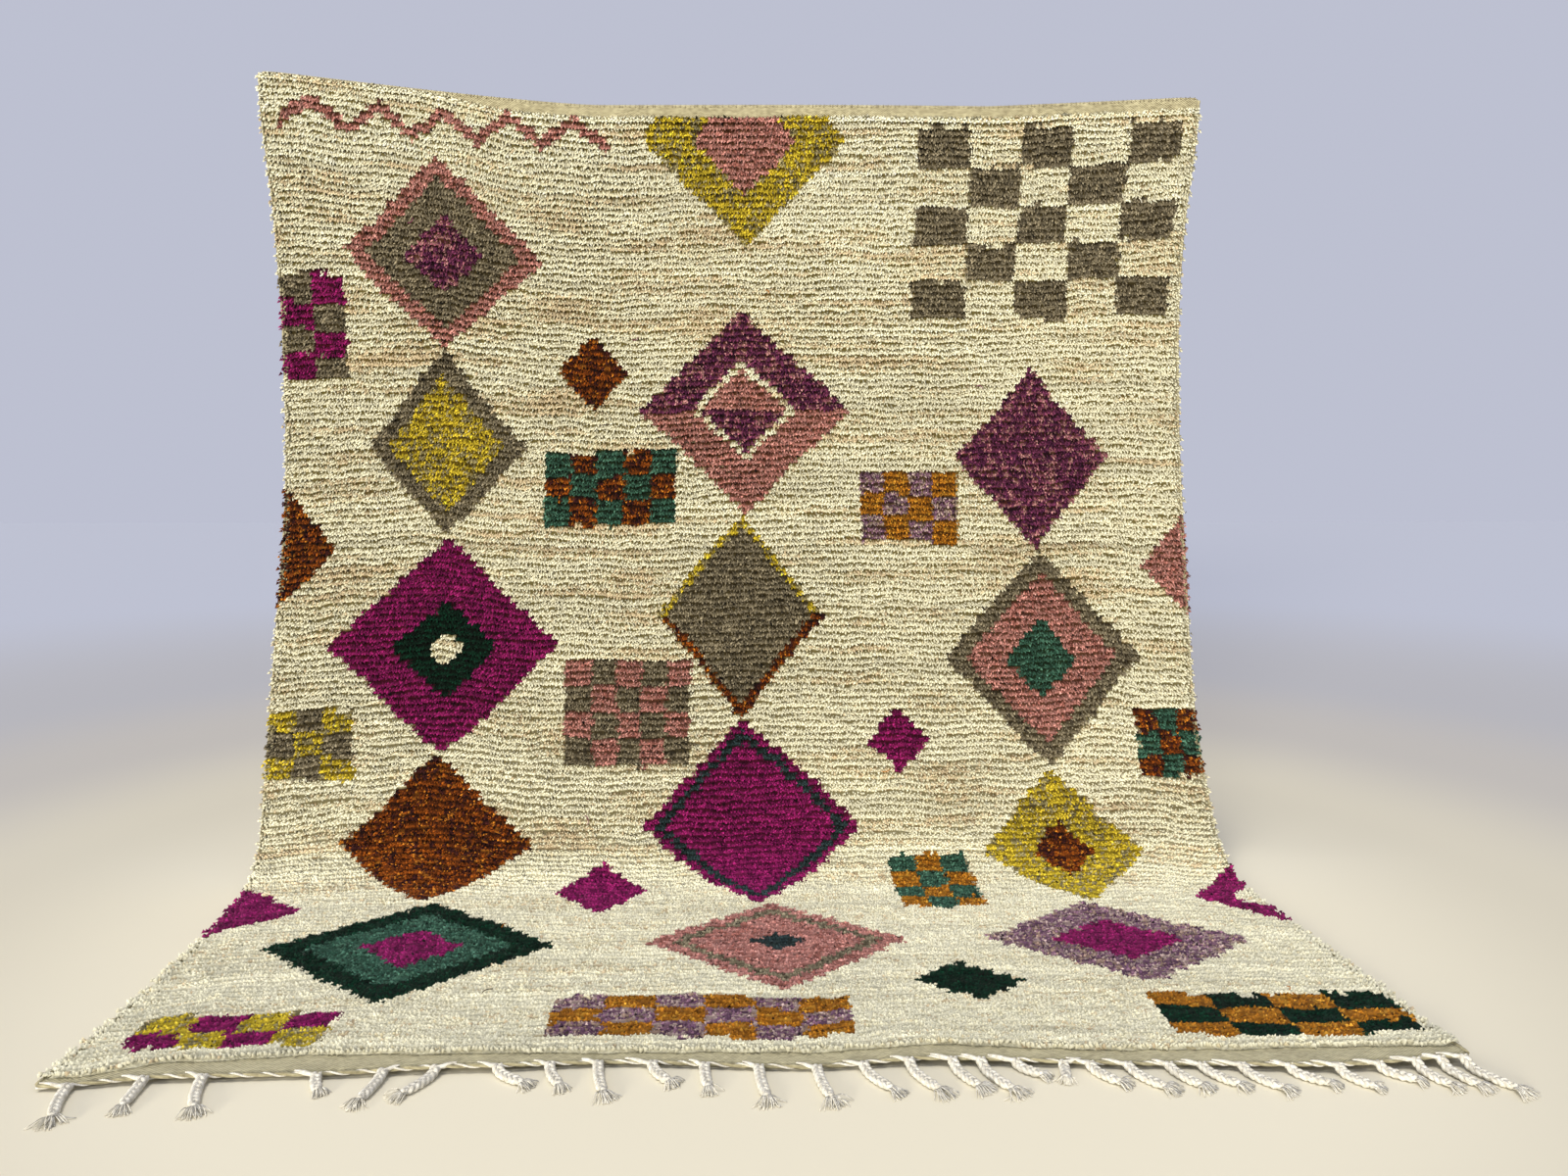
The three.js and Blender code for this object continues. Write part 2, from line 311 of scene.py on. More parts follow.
# %% The camera
CAMERA_PLACE = np.array([29, -1600, 861]) * MM + STAND
CAMERA_TURN, CAMERA_TIP = math.radians(1.0), math.radians(6.28)
LENS, SENSOR = 27.0, 36.0
camera_data = bpy.data.cameras.new("camera")
camera_data.lens, camera_data.sensor_width = LENS, SENSOR
camera = bpy.data.objects.new("camera", camera_data)
camera.location = CAMERA_PLACE
camera.rotation_euler = (math.pi / 2 - CAMERA_TIP, 0, -CAMERA_TURN)
bpy.context.scene.collection.objects.link(camera)
bpy.context.scene.camera = camera
print("camera at", [round(v, 3) for v in camera.location])

# %% [markdown]
# The weaver's grid
# Every knot has a row and a place in it. The rows could be straight lines, but a comb never beats them
# evenly, so they swell, sink and waver by a few millimetres, and less so near the two ends. They also lie
# closer toward the top edge. Knots of one row sit between the knots of the next, as they do where two warps
# are shared by turns.

# %% Where the knots are
BOTH_BANDS = 60 * MM
ROWS = int(round((RUG_LENGTH - BOTH_BANDS) / ROW_PITCH))
KNOTS = int(round(2 * CLOTH_EDGE / KNOT_PITCH))
STAGGER = 0.25 * KNOT_PITCH
CLOSER_UP = 0.07
row = np.mgrid[0:ROWS, 0:KNOTS][0]
column_across = mix(-CLOTH_EDGE, CLOTH_EDGE, (np.arange(KNOTS) + 0.5) / KNOTS)
knot_across = column_across + STAGGER * (2 * (row % 2) - 1)
climbed = row / (ROWS - 1)
climbed = climbed + CLOSER_UP * climbed * (1 - climbed)
knot_along = mix(first_row(knot_across), last_row(knot_across), climbed)
print(f"{ROWS} rows of {KNOTS} knots")

# %% How the rows swell, sink and waver
BEATEN, BEATEN_CLOUD = 3.8 * MM, 90 * MM
BEATEN_FINER, FINER_CLOUD = 0.7, 31 * MM
WAVER, WAVER_CLOUD, WAVER_STEEPER, WAVER_LOOSE = 2.4 * MM, 36 * MM, 3, 0.35
CALM_ROWS, CALM_BY_HEM, CALM_BY_TOP = 3, 0.7, 0.3
beaten = cloudy(knot_across, knot_along, BEATEN_CLOUD, seed=31)
beaten = beaten + BEATEN_FINER * cloudy(knot_across, knot_along, FINER_CLOUD, seed=32)
waver = cloudy(knot_across, WAVER_STEEPER * knot_along, WAVER_CLOUD, seed=33)
waver = waver + WAVER_LOOSE * chance.normal(0, 1, row.shape)
inside = mix(CALM_BY_HEM, 1, smooth(row / CALM_ROWS))
inside = inside * mix(CALM_BY_TOP, 1, smooth((ROWS - 1 - row) / CALM_ROWS))
knot_along = knot_along + (BEATEN * beaten + WAVER * waver) * inside
print(f"the rows are {np.diff(knot_along, axis=0).mean() / MM:.1f} mm apart on average")

# %% [markdown]
# Motifs
# Traditional motifs are set out in short tables: chains of lozenges that are nested, outlined or
# halved, blocks of checks and a zigzag. All sizes are in millimetres on the flat rug. A weaver has no
# drawing and counts by eye, so these tables hold whole shapes that are set where they look right, not a
# grid of knots.

# %% The lozenges
Lozenge = namedtuple("Lozenge", "across along width height layers")
LOZENGES = [  # each layer is its share of the size and its yarn, or the yarns below/above the middle
    # the left chain, from the top
    Lozenge(-640, 2068, 430, 400, [(1, "pink"), (0.78, "taupe"), (0.4, "plum")]),
    Lozenge(-640, 1664, 350, 400, [(1, "taupe"), (0.74, "chartreuse")]),
    Lozenge(-632, 1222, 500, 480, [(1, "magenta"), (0.46, "green"), (0.16, "ivory")]),
    Lozenge(-640, 790, 400, 380, [(1, "rust")]),
    Lozenge(-610, 396, 520, 400, [(1, "green"), (0.72, "teal"), (0.36, "magenta")]),
    # the middle chain
    Lozenge(20, 2330, 440, 460, [(1, "chartreuse"), (0.5, "pink")]),
    Lozenge(20, 1745, 470, 450, [(1, "pink/plum"), (0.5, "ivory"), (0.42, "plum/pink")]),
    Lozenge(12, 1290, 360, 450, [(1, "rust/chartreuse"), (0.88, "taupe")]),
    Lozenge(16, 826, 460, 470, [(1, "magenta"), (0.9, "slate"), (0.8, "magenta")]),
    Lozenge(34, 404, 470, 370, [(1, "pink"), (0.84, "taupe"), (0.7, "pink"), (0.2, "slate")]),
    # the right chain
    Lozenge(660, 1640, 340, 400, [(1, "plum")]),
    Lozenge(668, 1196, 430, 480, [(1, "taupe"), (0.78, "pink"), (0.36, "teal")]),
    Lozenge(660, 768, 340, 370, [(1, "chartreuse"), (0.4, "rust")]),
    Lozenge(640, 412, 480, 330, [(1, "mauve"), (0.5, "magenta")]),
    # halves that the selvedges cut
    Lozenge(-1000, 1440, 250, 270, [(1, "rust")]),
    Lozenge(1000, 1400, 200, 240, [(1, "pink")]),
    Lozenge(1000, 600, 260, 250, [(1, "magenta"), (0.4, "ivory")]),
    Lozenge(-1000, 560, 300, 220, [(1, "magenta")]),
    # small ones between the chains
    Lozenge(-310, 1830, 150, 170, [(1, "rust")]),
    Lozenge(345, 1010, 130, 150, [(1, "magenta")]),
    Lozenge(-290, 640, 190, 200, [(1, "magenta")]),
    Lozenge(340, 250, 190, 150, [(1, "green")]),
]
print(len(LOZENGES), "lozenges")

# %% The checks and the zigzag
Checks = namedtuple("Checks", "left low cell_width cell_height columns rows first second")
CHECKS = [
    Checks(395, 1950, 114, 80, 5, 5, "taupe", "ivory"),
    Checks(-425, 1488, 58, 56, 5, 3, "teal", "rust"),
    Checks(-370, 960, 54, 56, 5, 4, "taupe", "pink"),
    Checks(280, 1455, 54, 50, 4, 3, "mauve", "ochre"),
    Checks(292, 560, 54, 50, 3, 4, "ochre", "teal"),
    Checks(-1000, 1800, 72, 52, 2, 4, "magenta", "taupe"),
    Checks(-1000, 930, 62, 50, 3, 3, "chartreuse", "taupe"),
    Checks(860, 930, 50, 50, 3, 3, "rust", "teal"),
    Checks(-330, 66, 78, 44, 6, 3, "mauve", "ochre"),
    Checks(610, 66, 92, 46, 4, 3, "ochre", "green"),
    Checks(-930, 70, 70, 46, 4, 2, "magenta", "chartreuse"),
]
Zigzag = namedtuple("Zigzag", "left right along swing teeth thick yarn")
ZIGZAG = Zigzag(-960, -270, 2330, 26, 5, 26, "pink")
print(len(CHECKS), "blocks of checks and a zigzag")

# %% [markdown]
# Yarns
# The wool is spun by hand and dyed in small vats, so no yarn is one colour: each is a mixture of strands,
# and the heathered ones are two or three dyes plied together. One flat colour for each motif would look
# printed. A yarn here is a short list of colours with their shares, from which every knot draws.

# %% The yarns
YARNS = {
    "ivory": [("#f0edd3", 7), ("#eae5c7", 4), ("#ded3af", 1), ("#d8c6a4", 1)],
    "taupe": [("#7d7460", 4), ("#8e8570", 2), ("#625a49", 2)],
    "pink": [("#b37c75", 4), ("#bf8b84", 2), ("#99625a", 2)],
    "plum": [("#6a3151", 3), ("#481c3b", 3), ("#905364", 2), ("#aa7a7b", 1)],
    "magenta": [("#8c1c60", 4), ("#6b104a", 3)],
    "rust": [("#89460f", 3), ("#5b2a09", 3), ("#b57122", 1), ("#3a1817", 2)],
    "ochre": [("#a86e1d", 4), ("#8a5611", 2), ("#bd882d", 1)],
    "chartreuse": [("#c9b333", 5), ("#ad9722", 2), ("#a49a6c", 2), ("#897f5b", 1)],
    "teal": [("#355a4b", 3), ("#264538", 2), ("#4b7462", 1)],
    "green": [("#042b1c", 4), ("#031d12", 3)],
    "mauve": [("#846377", 2), ("#b09b97", 2), ("#64475f", 2), ("#9e8679", 1)],
    "slate": [("#2a3a3d", 3), ("#212f2f", 1)],
}
YARN_NAMES = list(YARNS)
print(len(YARN_NAMES), "yarns")

# %% [markdown]
# Reading the chart
# Each kind of motif has a rule that says which knots it holds, and a later motif covers an earlier one. The
# knots' places are warped a little first, so that the edges step and waver as counted knots do.

# %% The yarn of each knot
OFF_SLOWLY, SLOW_CLOUD = 7 * MM, 125 * MM
OFF_FINELY, FINE_CLOUD = 3 * MM, 32 * MM


def in_lozenge(x, y, shape, share):
    """Which places lie in a lozenge that is scaled by a share."""
    reach = np.abs(x - shape.across * MM) / (shape.width * MM / 2)
    climb = np.abs(y - shape.along * MM) / (shape.height * MM / 2)
    return reach + climb < share


def warped(across, along, seed):
    """How far the weaver's eye is off there."""
    slow = OFF_SLOWLY * cloudy(across, along, SLOW_CLOUD, seed)
    return slow + OFF_FINELY * cloudy(across, along, FINE_CLOUD, seed + 1)


def chart(across, along):
    """The yarn of each knot, as a number in YARN_NAMES."""
    x, y = across + warped(across, along, 41), along + warped(across, along, 43)
    yarn = np.zeros(across.shape, int)
    for shape in LOZENGES:
        for share, yarns in shape.layers:
            held, upper = in_lozenge(x, y, shape, share), y > shape.along * MM
            yarn[held & ~upper] = YARN_NAMES.index(yarns.split("/")[0])
            yarn[held & upper] = YARN_NAMES.index(yarns.split("/")[-1])
    for block in CHECKS:
        column = np.floor((x - block.left * MM) / (block.cell_width * MM)).astype(int)
        step = np.floor((y - block.low * MM) / (block.cell_height * MM)).astype(int)
        held = (column >= 0) & (column < block.columns) & (step >= 0) & (step < block.rows)
        even = (column + step) % 2 == 0
        yarn[held & even] = YARN_NAMES.index(block.first)
        yarn[held & ~even] = YARN_NAMES.index(block.second)
    turn = (x / MM - ZIGZAG.left) / (ZIGZAG.right - ZIGZAG.left) * ZIGZAG.teeth
    middle = ZIGZAG.along + ZIGZAG.swing * (4 * np.abs(turn - np.floor(turn + 0.5)) - 1)
    held = (np.abs(y / MM - middle) < ZIGZAG.thick / 2) & (turn > 0) & (turn < ZIGZAG.teeth)
    yarn[held] = YARN_NAMES.index(ZIGZAG.yarn)
    return yarn


knot_yarn = chart(knot_across, knot_along)
print({name: int((knot_yarn == number).sum()) for number, name in enumerate(YARN_NAMES)})

# %% [markdown]
# Each knot's dye
# A knot draws its colour from its yarn. Ivory runs on along a row, because one length of yarn makes many
# knots, and it changes a little where a new hank begins, so the noise for both is drawn out along the rows.
# The other yarns change from knot to knot. The upper end is painted a little lighter, as painted light where
# more light falls, and the very last row lightest of all, as a painted highlight where its tufts catch the
# light.

# %% The strand and the lightness of each knot
LOOSE_DRAW = 0.25
MIDDLE_SHADE, ROW_SHADE, PAINTED_HIGHLIGHT_LAST_ROW = 0.98, 0.04, 0.1
HANK_SHADE, HANK_CLOUD, HANK_DRAWN_OUT = 0.05, 45 * MM, 6
LENGTH_SHADE, LENGTH_DRAWN_OUT = 1.6 * HANK_SHADE, 12
PAINTED_LIGHT_UP, PAINTED_LIGHT_FROM, PAINTED_LIGHT_OVER = 0.1, 1750 * MM, 500 * MM
STREAK_LYING, STREAK_HANGING, STREAK_MIDDLE = 0.25, 0.75, 0.44
STREAK_CLOUD, STREAK_DRAWN_OUT = 1.3 * ROW_PITCH, 9


def draw_dyes(yarn, strand):
    """A linear colour from each yarn. The strand, from 0 to 1, says about where in its list."""
    pick = np.clip(strand + chance.normal(0, LOOSE_DRAW, strand.shape), 0, 1)
    dyes = np.zeros((*yarn.shape, 3))
    for number, name in enumerate(YARN_NAMES):
        colours = np.array([linear(colour)[:3] for colour, _ in YARNS[name]])
        shares = np.cumsum([share for _, share in YARNS[name]])
        held = yarn == number
        dyes[held] = colours[np.searchsorted(shares / shares[-1], pick[held])]
    return dyes


knot_tone_and_painted_light = MIDDLE_SHADE + HANK_SHADE * cloudy(knot_across / HANK_DRAWN_OUT, knot_along, HANK_CLOUD, seed=51)
length = cloudy(knot_across / LENGTH_DRAWN_OUT, row * ROW_PITCH, ROW_PITCH, seed=52)
knot_tone_and_painted_light = knot_tone_and_painted_light + LENGTH_SHADE * length
# Painted highlight: the very last row is made lighter, where its tufts catch the light.
knot_tone_and_painted_light = knot_tone_and_painted_light + ROW_SHADE * chance.normal(0, 1, (ROWS, 1)) + PAINTED_HIGHLIGHT_LAST_ROW * (row == ROWS - 1)
# Painted light: the upper end is made lighter, where more light falls on it.
knot_tone_and_painted_light = knot_tone_and_painted_light + PAINTED_LIGHT_UP * smooth((knot_along - PAINTED_LIGHT_FROM) / PAINTED_LIGHT_OVER)
streak = cloudy(knot_across / STREAK_DRAWN_OUT, row * ROW_PITCH, STREAK_CLOUD, seed=53)
streak = STREAK_MIDDLE + mix(STREAK_LYING, STREAK_HANGING, hanging_share(knot_along)) * streak
knot_strand = np.where(knot_yarn == 0, streak, chance.uniform(0, 1, knot_yarn.shape))
print(f"lightness from {knot_tone_and_painted_light.min():.2f} to {knot_tone_and_painted_light.max():.2f}")

# %% [markdown]
# Wool pile, as a material
# Hand-spun wool that is knotted and cut. It is matt, hardly shines even at grazing light, and is warm and
# dark down between the tufts, where light only comes by way of other wool. Its colour is each knot's dye.
# The darkening could be left to the light alone, but the modelled locks are coarser than real fibres, so it
# is also painted into the colour as shade, drawn from how far up its tuft a point lies, and less where light
# falls straight in. A noise breaks the dye up as strands do. Real strands are about 1 mm wide, too fine to
# show in the render, so they are drawn coarser, 2.4 mm wide.

# %% Matt fibrous materials, and the wool pile
SHEEN_ROUGHNESS, GLOSS = 0.5, 0.1


def material(name, roughness, sheen):
    """A new material without gloss, with its tree and its shader."""
    made = bpy.data.materials.new(name)
    made.use_nodes = True
    shader = made.node_tree.nodes["Principled BSDF"]
    shader.inputs["Roughness"].default_value = roughness
    shader.inputs["Sheen Weight"].default_value = sheen
    shader.inputs["Sheen Roughness"].default_value = SHEEN_ROUGHNESS
    shader.inputs["Specular IOR Level"].default_value = GLOSS
    return made, made.node_tree, shader


STRAND_WIDTH, STRAND_RELIEF = 2.4 * MM, 1 * MM
PAINTED_CREVICE_SHADE, OPEN = "#595132", "#ffffff"
REACH_DARK, REACH_OPEN = 0.46, 0.88
NOISE_LOW, NOISE_HIGH = 0.3, 0.7
FLECK_DARK, FLECK_LIGHT = 0.82, 1.12


def wool_pile():
    made, tree, shader = material("hand_spun_wool_pile", roughness=0.95, sheen=0.06)
    dye = add(tree, "ShaderNodeAttribute", attribute_name="dye").outputs["Color"]
    reach = add(tree, "ShaderNodeAttribute", attribute_name="reach").outputs["Fac"]
    lit = add(tree, "ShaderNodeAttribute", attribute_name="lit").outputs["Fac"]
    between = {"Value": reach, "From Min": REACH_DARK, "From Max": REACH_OPEN}
    depth = add(tree, "ShaderNodeMapRange", between)
    open_share = add(tree, "ShaderNodeMix", {0: lit, 2: depth.outputs["Result"], 3: 1.0})
    # Painted shade: low down in a tuft, by its reach, the dye is darkened toward this warm dark colour, less
    # where lit.
    ends = {0: open_share.outputs[0], 6: linear(PAINTED_CREVICE_SHADE), 7: linear(OPEN)}
    painted_crevice_shade = add(tree, "ShaderNodeMix", ends, data_type="RGBA")
    shaded = add(tree, "ShaderNodeVectorMath", {0: dye, 1: painted_crevice_shade.outputs[2]}, operation="MULTIPLY")
    where = add(tree, "ShaderNodeTexCoord").outputs["Object"]
    strands = add(tree, "ShaderNodeTexNoise", {"Vector": where, "Scale": 1 / STRAND_WIDTH}).outputs["Fac"]
    noise = {"Value": strands, "From Min": NOISE_LOW, "From Max": NOISE_HIGH}
    shades = {"To Min": FLECK_DARK, "To Max": FLECK_LIGHT}
    fleck = add(tree, "ShaderNodeMapRange", noise | shades).outputs["Result"]
    colour = add(tree, "ShaderNodeVectorMath", {0: shaded.outputs[0], "Scale": fleck}, operation="SCALE")
    tree.links.new(colour.outputs["Vector"], shader.inputs["Base Color"])
    bump = add(tree, "ShaderNodeBump", {"Height": strands, "Strength": 0.2, "Distance": STRAND_RELIEF})
    tree.links.new(bump.outputs["Normal"], shader.inputs["Normal"])
    return made


PILE_WOOL = wool_pile()
print(PILE_WOOL.name, "has", len(PILE_WOOL.node_tree.nodes), "nodes")

# %% [markdown]
# Flat weave, as a material
# Beige wool and cotton in a plain weave, beaten by hand. Its warps and wefts show as small raised squares,
# drawn on the flat rug's own measure so that they follow the drape. The real yarns lie 1 to 2 mm apart, too
# fine to show in the render, so they are drawn coarser, 3 mm by 2.2 mm. Streaks as thin as such a yarn run
# along the weft, and patches half as wide as a hand make it greyer and lighter in turn, as undyed yarn is.
# Where the cloth lies, light falls straight down between its yarns, so there it is paler.

# %% The flat weave
WARP_PAIR, WEFT_PAIR = 6 * MM, 4.4 * MM  # two yarns each, one over and one under
YARN_LONG, YARN_HIGH, PATCH_WIDTH = 10 * MM, 3 * MM, 42 * MM
PATCH_SHARE, SQUARE_SHARE, PALER_LYING = 0.35, 0.3, 0.5
RELIEF_DARK, RELIEF_LIGHT, WEAVE_RELIEF = 0.3, 1.25, 1.2 * MM
WEAVE_DARK, WEAVE_LIGHT = "#5c533c", "#c9c29e"


def flat_weave():
    made, tree, shader = material("flat_woven_wool_and_cotton", roughness=0.9, sheen=0.15)
    flat = add(tree, "ShaderNodeUVMap", uv_map="cloth").outputs["UV"]
    where = add(tree, "ShaderNodeTexCoord").outputs["Object"]
    waves = []
    for side, pair in enumerate((WARP_PAIR, WEFT_PAIR)):
        way = add(tree, "ShaderNodeSeparateXYZ", {0: flat}).outputs[side]
        turn = add(tree, "ShaderNodeMath", {0: way, 1: math.tau / pair}, operation="MULTIPLY")
        waves.append(add(tree, "ShaderNodeMath", {0: turn.outputs[0]}, operation="SINE").outputs[0])
    weave = add(tree, "ShaderNodeMath", {0: waves[0], 1: waves[1]}, operation="MULTIPLY").outputs[0]
    drawn_out = {0: where, 1: (1 / YARN_LONG, 1 / YARN_HIGH, 1 / YARN_HIGH)}
    drawn_out = add(tree, "ShaderNodeVectorMath", drawn_out, operation="MULTIPLY").outputs[0]
    yarns = add(tree, "ShaderNodeTexNoise", {"Vector": drawn_out, "Scale": 1.0}).outputs["Fac"]
    patch = add(tree, "ShaderNodeTexNoise", {"Vector": where, "Scale": 1 / PATCH_WIDTH}).outputs["Fac"]
    patched = {0: patch, 1: PATCH_SHARE, 2: yarns}
    patched = add(tree, "ShaderNodeMath", patched, operation="MULTIPLY_ADD").outputs[0]
    relief = {0: weave, 1: SQUARE_SHARE, 2: patched}
    relief = add(tree, "ShaderNodeMath", relief, operation="MULTIPLY_ADD").outputs[0]
    lit = add(tree, "ShaderNodeAttribute", attribute_name="lit").outputs["Fac"]
    paler = {0: lit, 1: PALER_LYING, 2: relief}
    paler = add(tree, "ShaderNodeMath", paler, operation="MULTIPLY_ADD").outputs[0]
    shown = {"Value": paler, "From Min": RELIEF_DARK, "From Max": RELIEF_LIGHT}
    ramp = add(tree, "ShaderNodeValToRGB", {"Fac": add(tree, "ShaderNodeMapRange", shown).outputs[0]})
    dark, light = ramp.color_ramp.elements
    dark.color, light.color = linear(WEAVE_DARK), linear(WEAVE_LIGHT)
    tree.links.new(ramp.outputs["Color"], shader.inputs["Base Color"])
    bump = add(tree, "ShaderNodeBump", {"Height": relief, "Strength": 0.8, "Distance": WEAVE_RELIEF})
    tree.links.new(bump.outputs["Normal"], shader.inputs["Normal"])
    return made


GROUND = flat_weave()
print(GROUND.name, "has", len(GROUND.node_tree.nodes), "nodes")

# %% [markdown]
# Cotton yarn, as a material
# White cotton, spun hard and not dyed. It is the brightest thing on the rug, a little warm, and greyer
# where it has been handled. Fine slanting bands across it stand for the twist, 1.7 mm apart.

# %% The cotton yarn
COTTON_CLOUD, COTTON_TWIST, TWIST_RELIEF, TWIST_UNEVEN = 6 * MM, 1.7 * MM, 0.8 * MM, 2.0
DIAGONAL_BAND = 0.363  # how far apart the texture's diagonal bands are at a scale of one
COTTON_DARK, COTTON_LIGHT = "#b9b4a5", "#e2dfd4"


def cotton_yarn():
    made, tree, shader = material("white_cotton_yarn", roughness=0.85, sheen=0.2)
    where = add(tree, "ShaderNodeTexCoord").outputs["Object"]
    cloud = add(tree, "ShaderNodeTexNoise", {"Vector": where, "Scale": 1 / COTTON_CLOUD}).outputs["Fac"]
    bands = {"Vector": where, "Scale": DIAGONAL_BAND / COTTON_TWIST, "Distortion": TWIST_UNEVEN}
    twist = add(tree, "ShaderNodeTexWave", bands, bands_direction="DIAGONAL").outputs["Fac"]
    ramp = add(tree, "ShaderNodeValToRGB", {"Fac": cloud})
    dark, light = ramp.color_ramp.elements
    dark.position, dark.color = NOISE_LOW, linear(COTTON_DARK)
    light.position, light.color = NOISE_HIGH, linear(COTTON_LIGHT)
    tree.links.new(ramp.outputs["Color"], shader.inputs["Base Color"])
    bump = add(tree, "ShaderNodeBump", {"Height": twist, "Strength": 0.5, "Distance": TWIST_RELIEF})
    tree.links.new(bump.outputs["Normal"], shader.inputs["Normal"])
    return made


COTTON = cotton_yarn()
print(COTTON.name, "has", len(COTTON.node_tree.nodes), "nodes")

# %% [markdown]
# The ground cloth
# Warps of cotton and wool carry everything. Several shots of weft run between two rows of knots, so the
# back of the cloth is ribbed. It could be a plane with Solidify, but then no rib would follow its row of
# knots. So it is one closed sheet, made from a grid with two sections for each row.

# %% The sections of the ground cloth
KNOT_BACK, RIB = 1.3 * MM, 0.5 * MM
CLOTH_COLUMNS, BESIDE_EDGE = 48, 8 * MM
BAND_SECTIONS = 5
MOST_LIT = 0.5


def lit_share(hang):
    """How far light opens the crevices, which is most where the rug lies and it falls straight in."""
    return MOST_LIT * (1 - hang)


def cloth_sections():
    """Where the cloth's grid lies on the flat rug, and how far in each of its sections stands behind."""
    near_edge = CLOTH_EDGE - BESIDE_EDGE
    across = np.linspace(-CLOTH_EDGE, CLOTH_EDGE, CLOTH_COLUMNS + 1)
    across = np.sort(np.append(across, [-near_edge, near_edge]))
    low, high = first_row(across), last_row(across)
    hem = np.linspace(0, 1, BAND_SECTIONS, endpoint=False)[:, None] * low
    piled = mix(low, high, np.linspace(0, 1, 2 * ROWS - 1)[:, None])
    top = mix(high, RUG_LENGTH, np.linspace(0, 1, BAND_SECTIONS + 1)[1:, None])
    along = np.vstack([hem, piled, top])
    ribs = np.zeros((len(along), 1))
    ribs[len(hem) + 1 : len(hem) + len(piled) : 2] = RIB
    return np.broadcast_to(across, along.shape), along, ribs


print(f"{len(cloth_sections()[1])} sections of {CLOTH_COLUMNS + 3} points")


# %% The ground cloth
def closed_cloth(name):
    """A front, a back and a rim, which together have no open edge."""
    across, along, ribs = cloth_sections()
    front_places = place(across, along, WEAVE_DEPTH).reshape(-1, 3)
    back_places = place(across, along, KNOT_BACK + ribs).reshape(-1, 3)
    number = np.arange(along.size).reshape(along.shape)
    a, b, c, d = number[:-1, :-1], number[:-1, 1:], number[1:, 1:], number[1:, :-1]
    front = np.stack([a, b, c, d], axis=-1).reshape(-1, 4)
    back = np.stack([a, d, c, b], axis=-1).reshape(-1, 4) + number.size
    edge = np.concatenate([number[0, :], number[1:, -1], number[-1, -2::-1], number[-2:0:-1, 0]])
    after = np.roll(edge, -1)
    rim = np.stack([edge + number.size, after + number.size, after, edge], axis=-1)
    piece = new_piece(name, np.vstack([front_places, back_places]), np.vstack([front, back, rim]), GROUND)
    flat = np.tile(np.stack([across.ravel(), along.ravel()], axis=-1), (2, 1))
    corners = np.empty(len(piece.data.loops), int)
    piece.data.loops.foreach_get("vertex_index", corners)
    give(piece.data, "lit", "FLOAT", "POINT", np.tile(lit_share(hanging_share(along)).ravel(), 2))
    measure = piece.data.uv_layers.new(name="cloth")
    measure.data.foreach_set("uv", flat[corners].astype(np.float32).ravel())
    count_triangles(piece)
    return piece


ground_cloth = closed_cloth("ground_cloth")

# %% [markdown]
# Standing yarn
# Every knot shows two cut ends on the front and one loop on the back, and there are over 40,000 knots.
# Particle hair would be lighter, but it isn't a mesh and can't be handed on. So a Geometry Nodes tree puts
# a small shape on each point of a cloud, turned and stretched by what the point holds, makes the copies
# real and gives them their material. The points come from the chart and the drape.

# %% The tree that plants a shape on every point
def planting_tree():
    """Shape on Points, its Z along lay and its X along beside, sized by Size times each point's stretch."""
    tree = bpy.data.node_groups.new("plant_on_points", "GeometryNodeTree")
    sockets = {"Points": "Geometry", "Shape": "Object", "Size": "Vector", "Material": "Material"}
    for name, kind in sockets.items():
        tree.interface.new_socket(name, in_out="INPUT", socket_type=f"NodeSocket{kind}")
    tree.interface.new_socket("Planted", in_out="OUTPUT", socket_type="NodeSocketGeometry")
    given = add(tree, "NodeGroupInput").outputs
    held = {}
    for name in ("lay", "beside", "stretch"):
        reader = add(tree, "GeometryNodeInputNamedAttribute", {"Name": name}, data_type="FLOAT_VECTOR")
        held[name] = reader.outputs["Attribute"]
    axes = {0: held["lay"], 1: held["beside"]}
    turned = add(tree, "FunctionNodeAxesToRotation", axes, primary_axis="Z", secondary_axis="X")
    sized = add(tree, "ShaderNodeVectorMath", {0: held["stretch"], 1: given["Size"]}, operation="MULTIPLY")
    shape = add(tree, "GeometryNodeObjectInfo", {"Object": given["Shape"]}, transform_space="ORIGINAL")
    copies = {
        "Points": given["Points"],
        "Instance": shape.outputs["Geometry"],
        "Rotation": turned.outputs["Rotation"],
        "Scale": sized.outputs["Vector"],
    }
    planted = add(tree, "GeometryNodeInstanceOnPoints", copies)
    real = add(tree, "GeometryNodeRealizeInstances", {0: planted.outputs["Instances"]})
    finish = {"Geometry": real.outputs[0], "Material": given["Material"]}
    done = add(tree, "GeometryNodeSetMaterial", finish)
    add(tree, "NodeGroupOutput", {0: done.outputs[0]})
    return tree


PLANTING = planting_tree()
print(PLANTING.name, "has", len(PLANTING.nodes), "nodes")

# %% Planting one piece
Standing = namedtuple("Standing", "points lay beside stretch dye lit")


def settle(piece):
    """Turns what the modifier makes into the piece's own plain mesh."""
    depsgraph = bpy.context.evaluated_depsgraph_get()
    shown = piece.evaluated_get(depsgraph)
    made = bpy.data.meshes.new_from_object(shown, preserve_all_data_layers=True, depsgraph=depsgraph)
    piece.modifiers.clear()
    piece.data = made
    made.name = piece.name


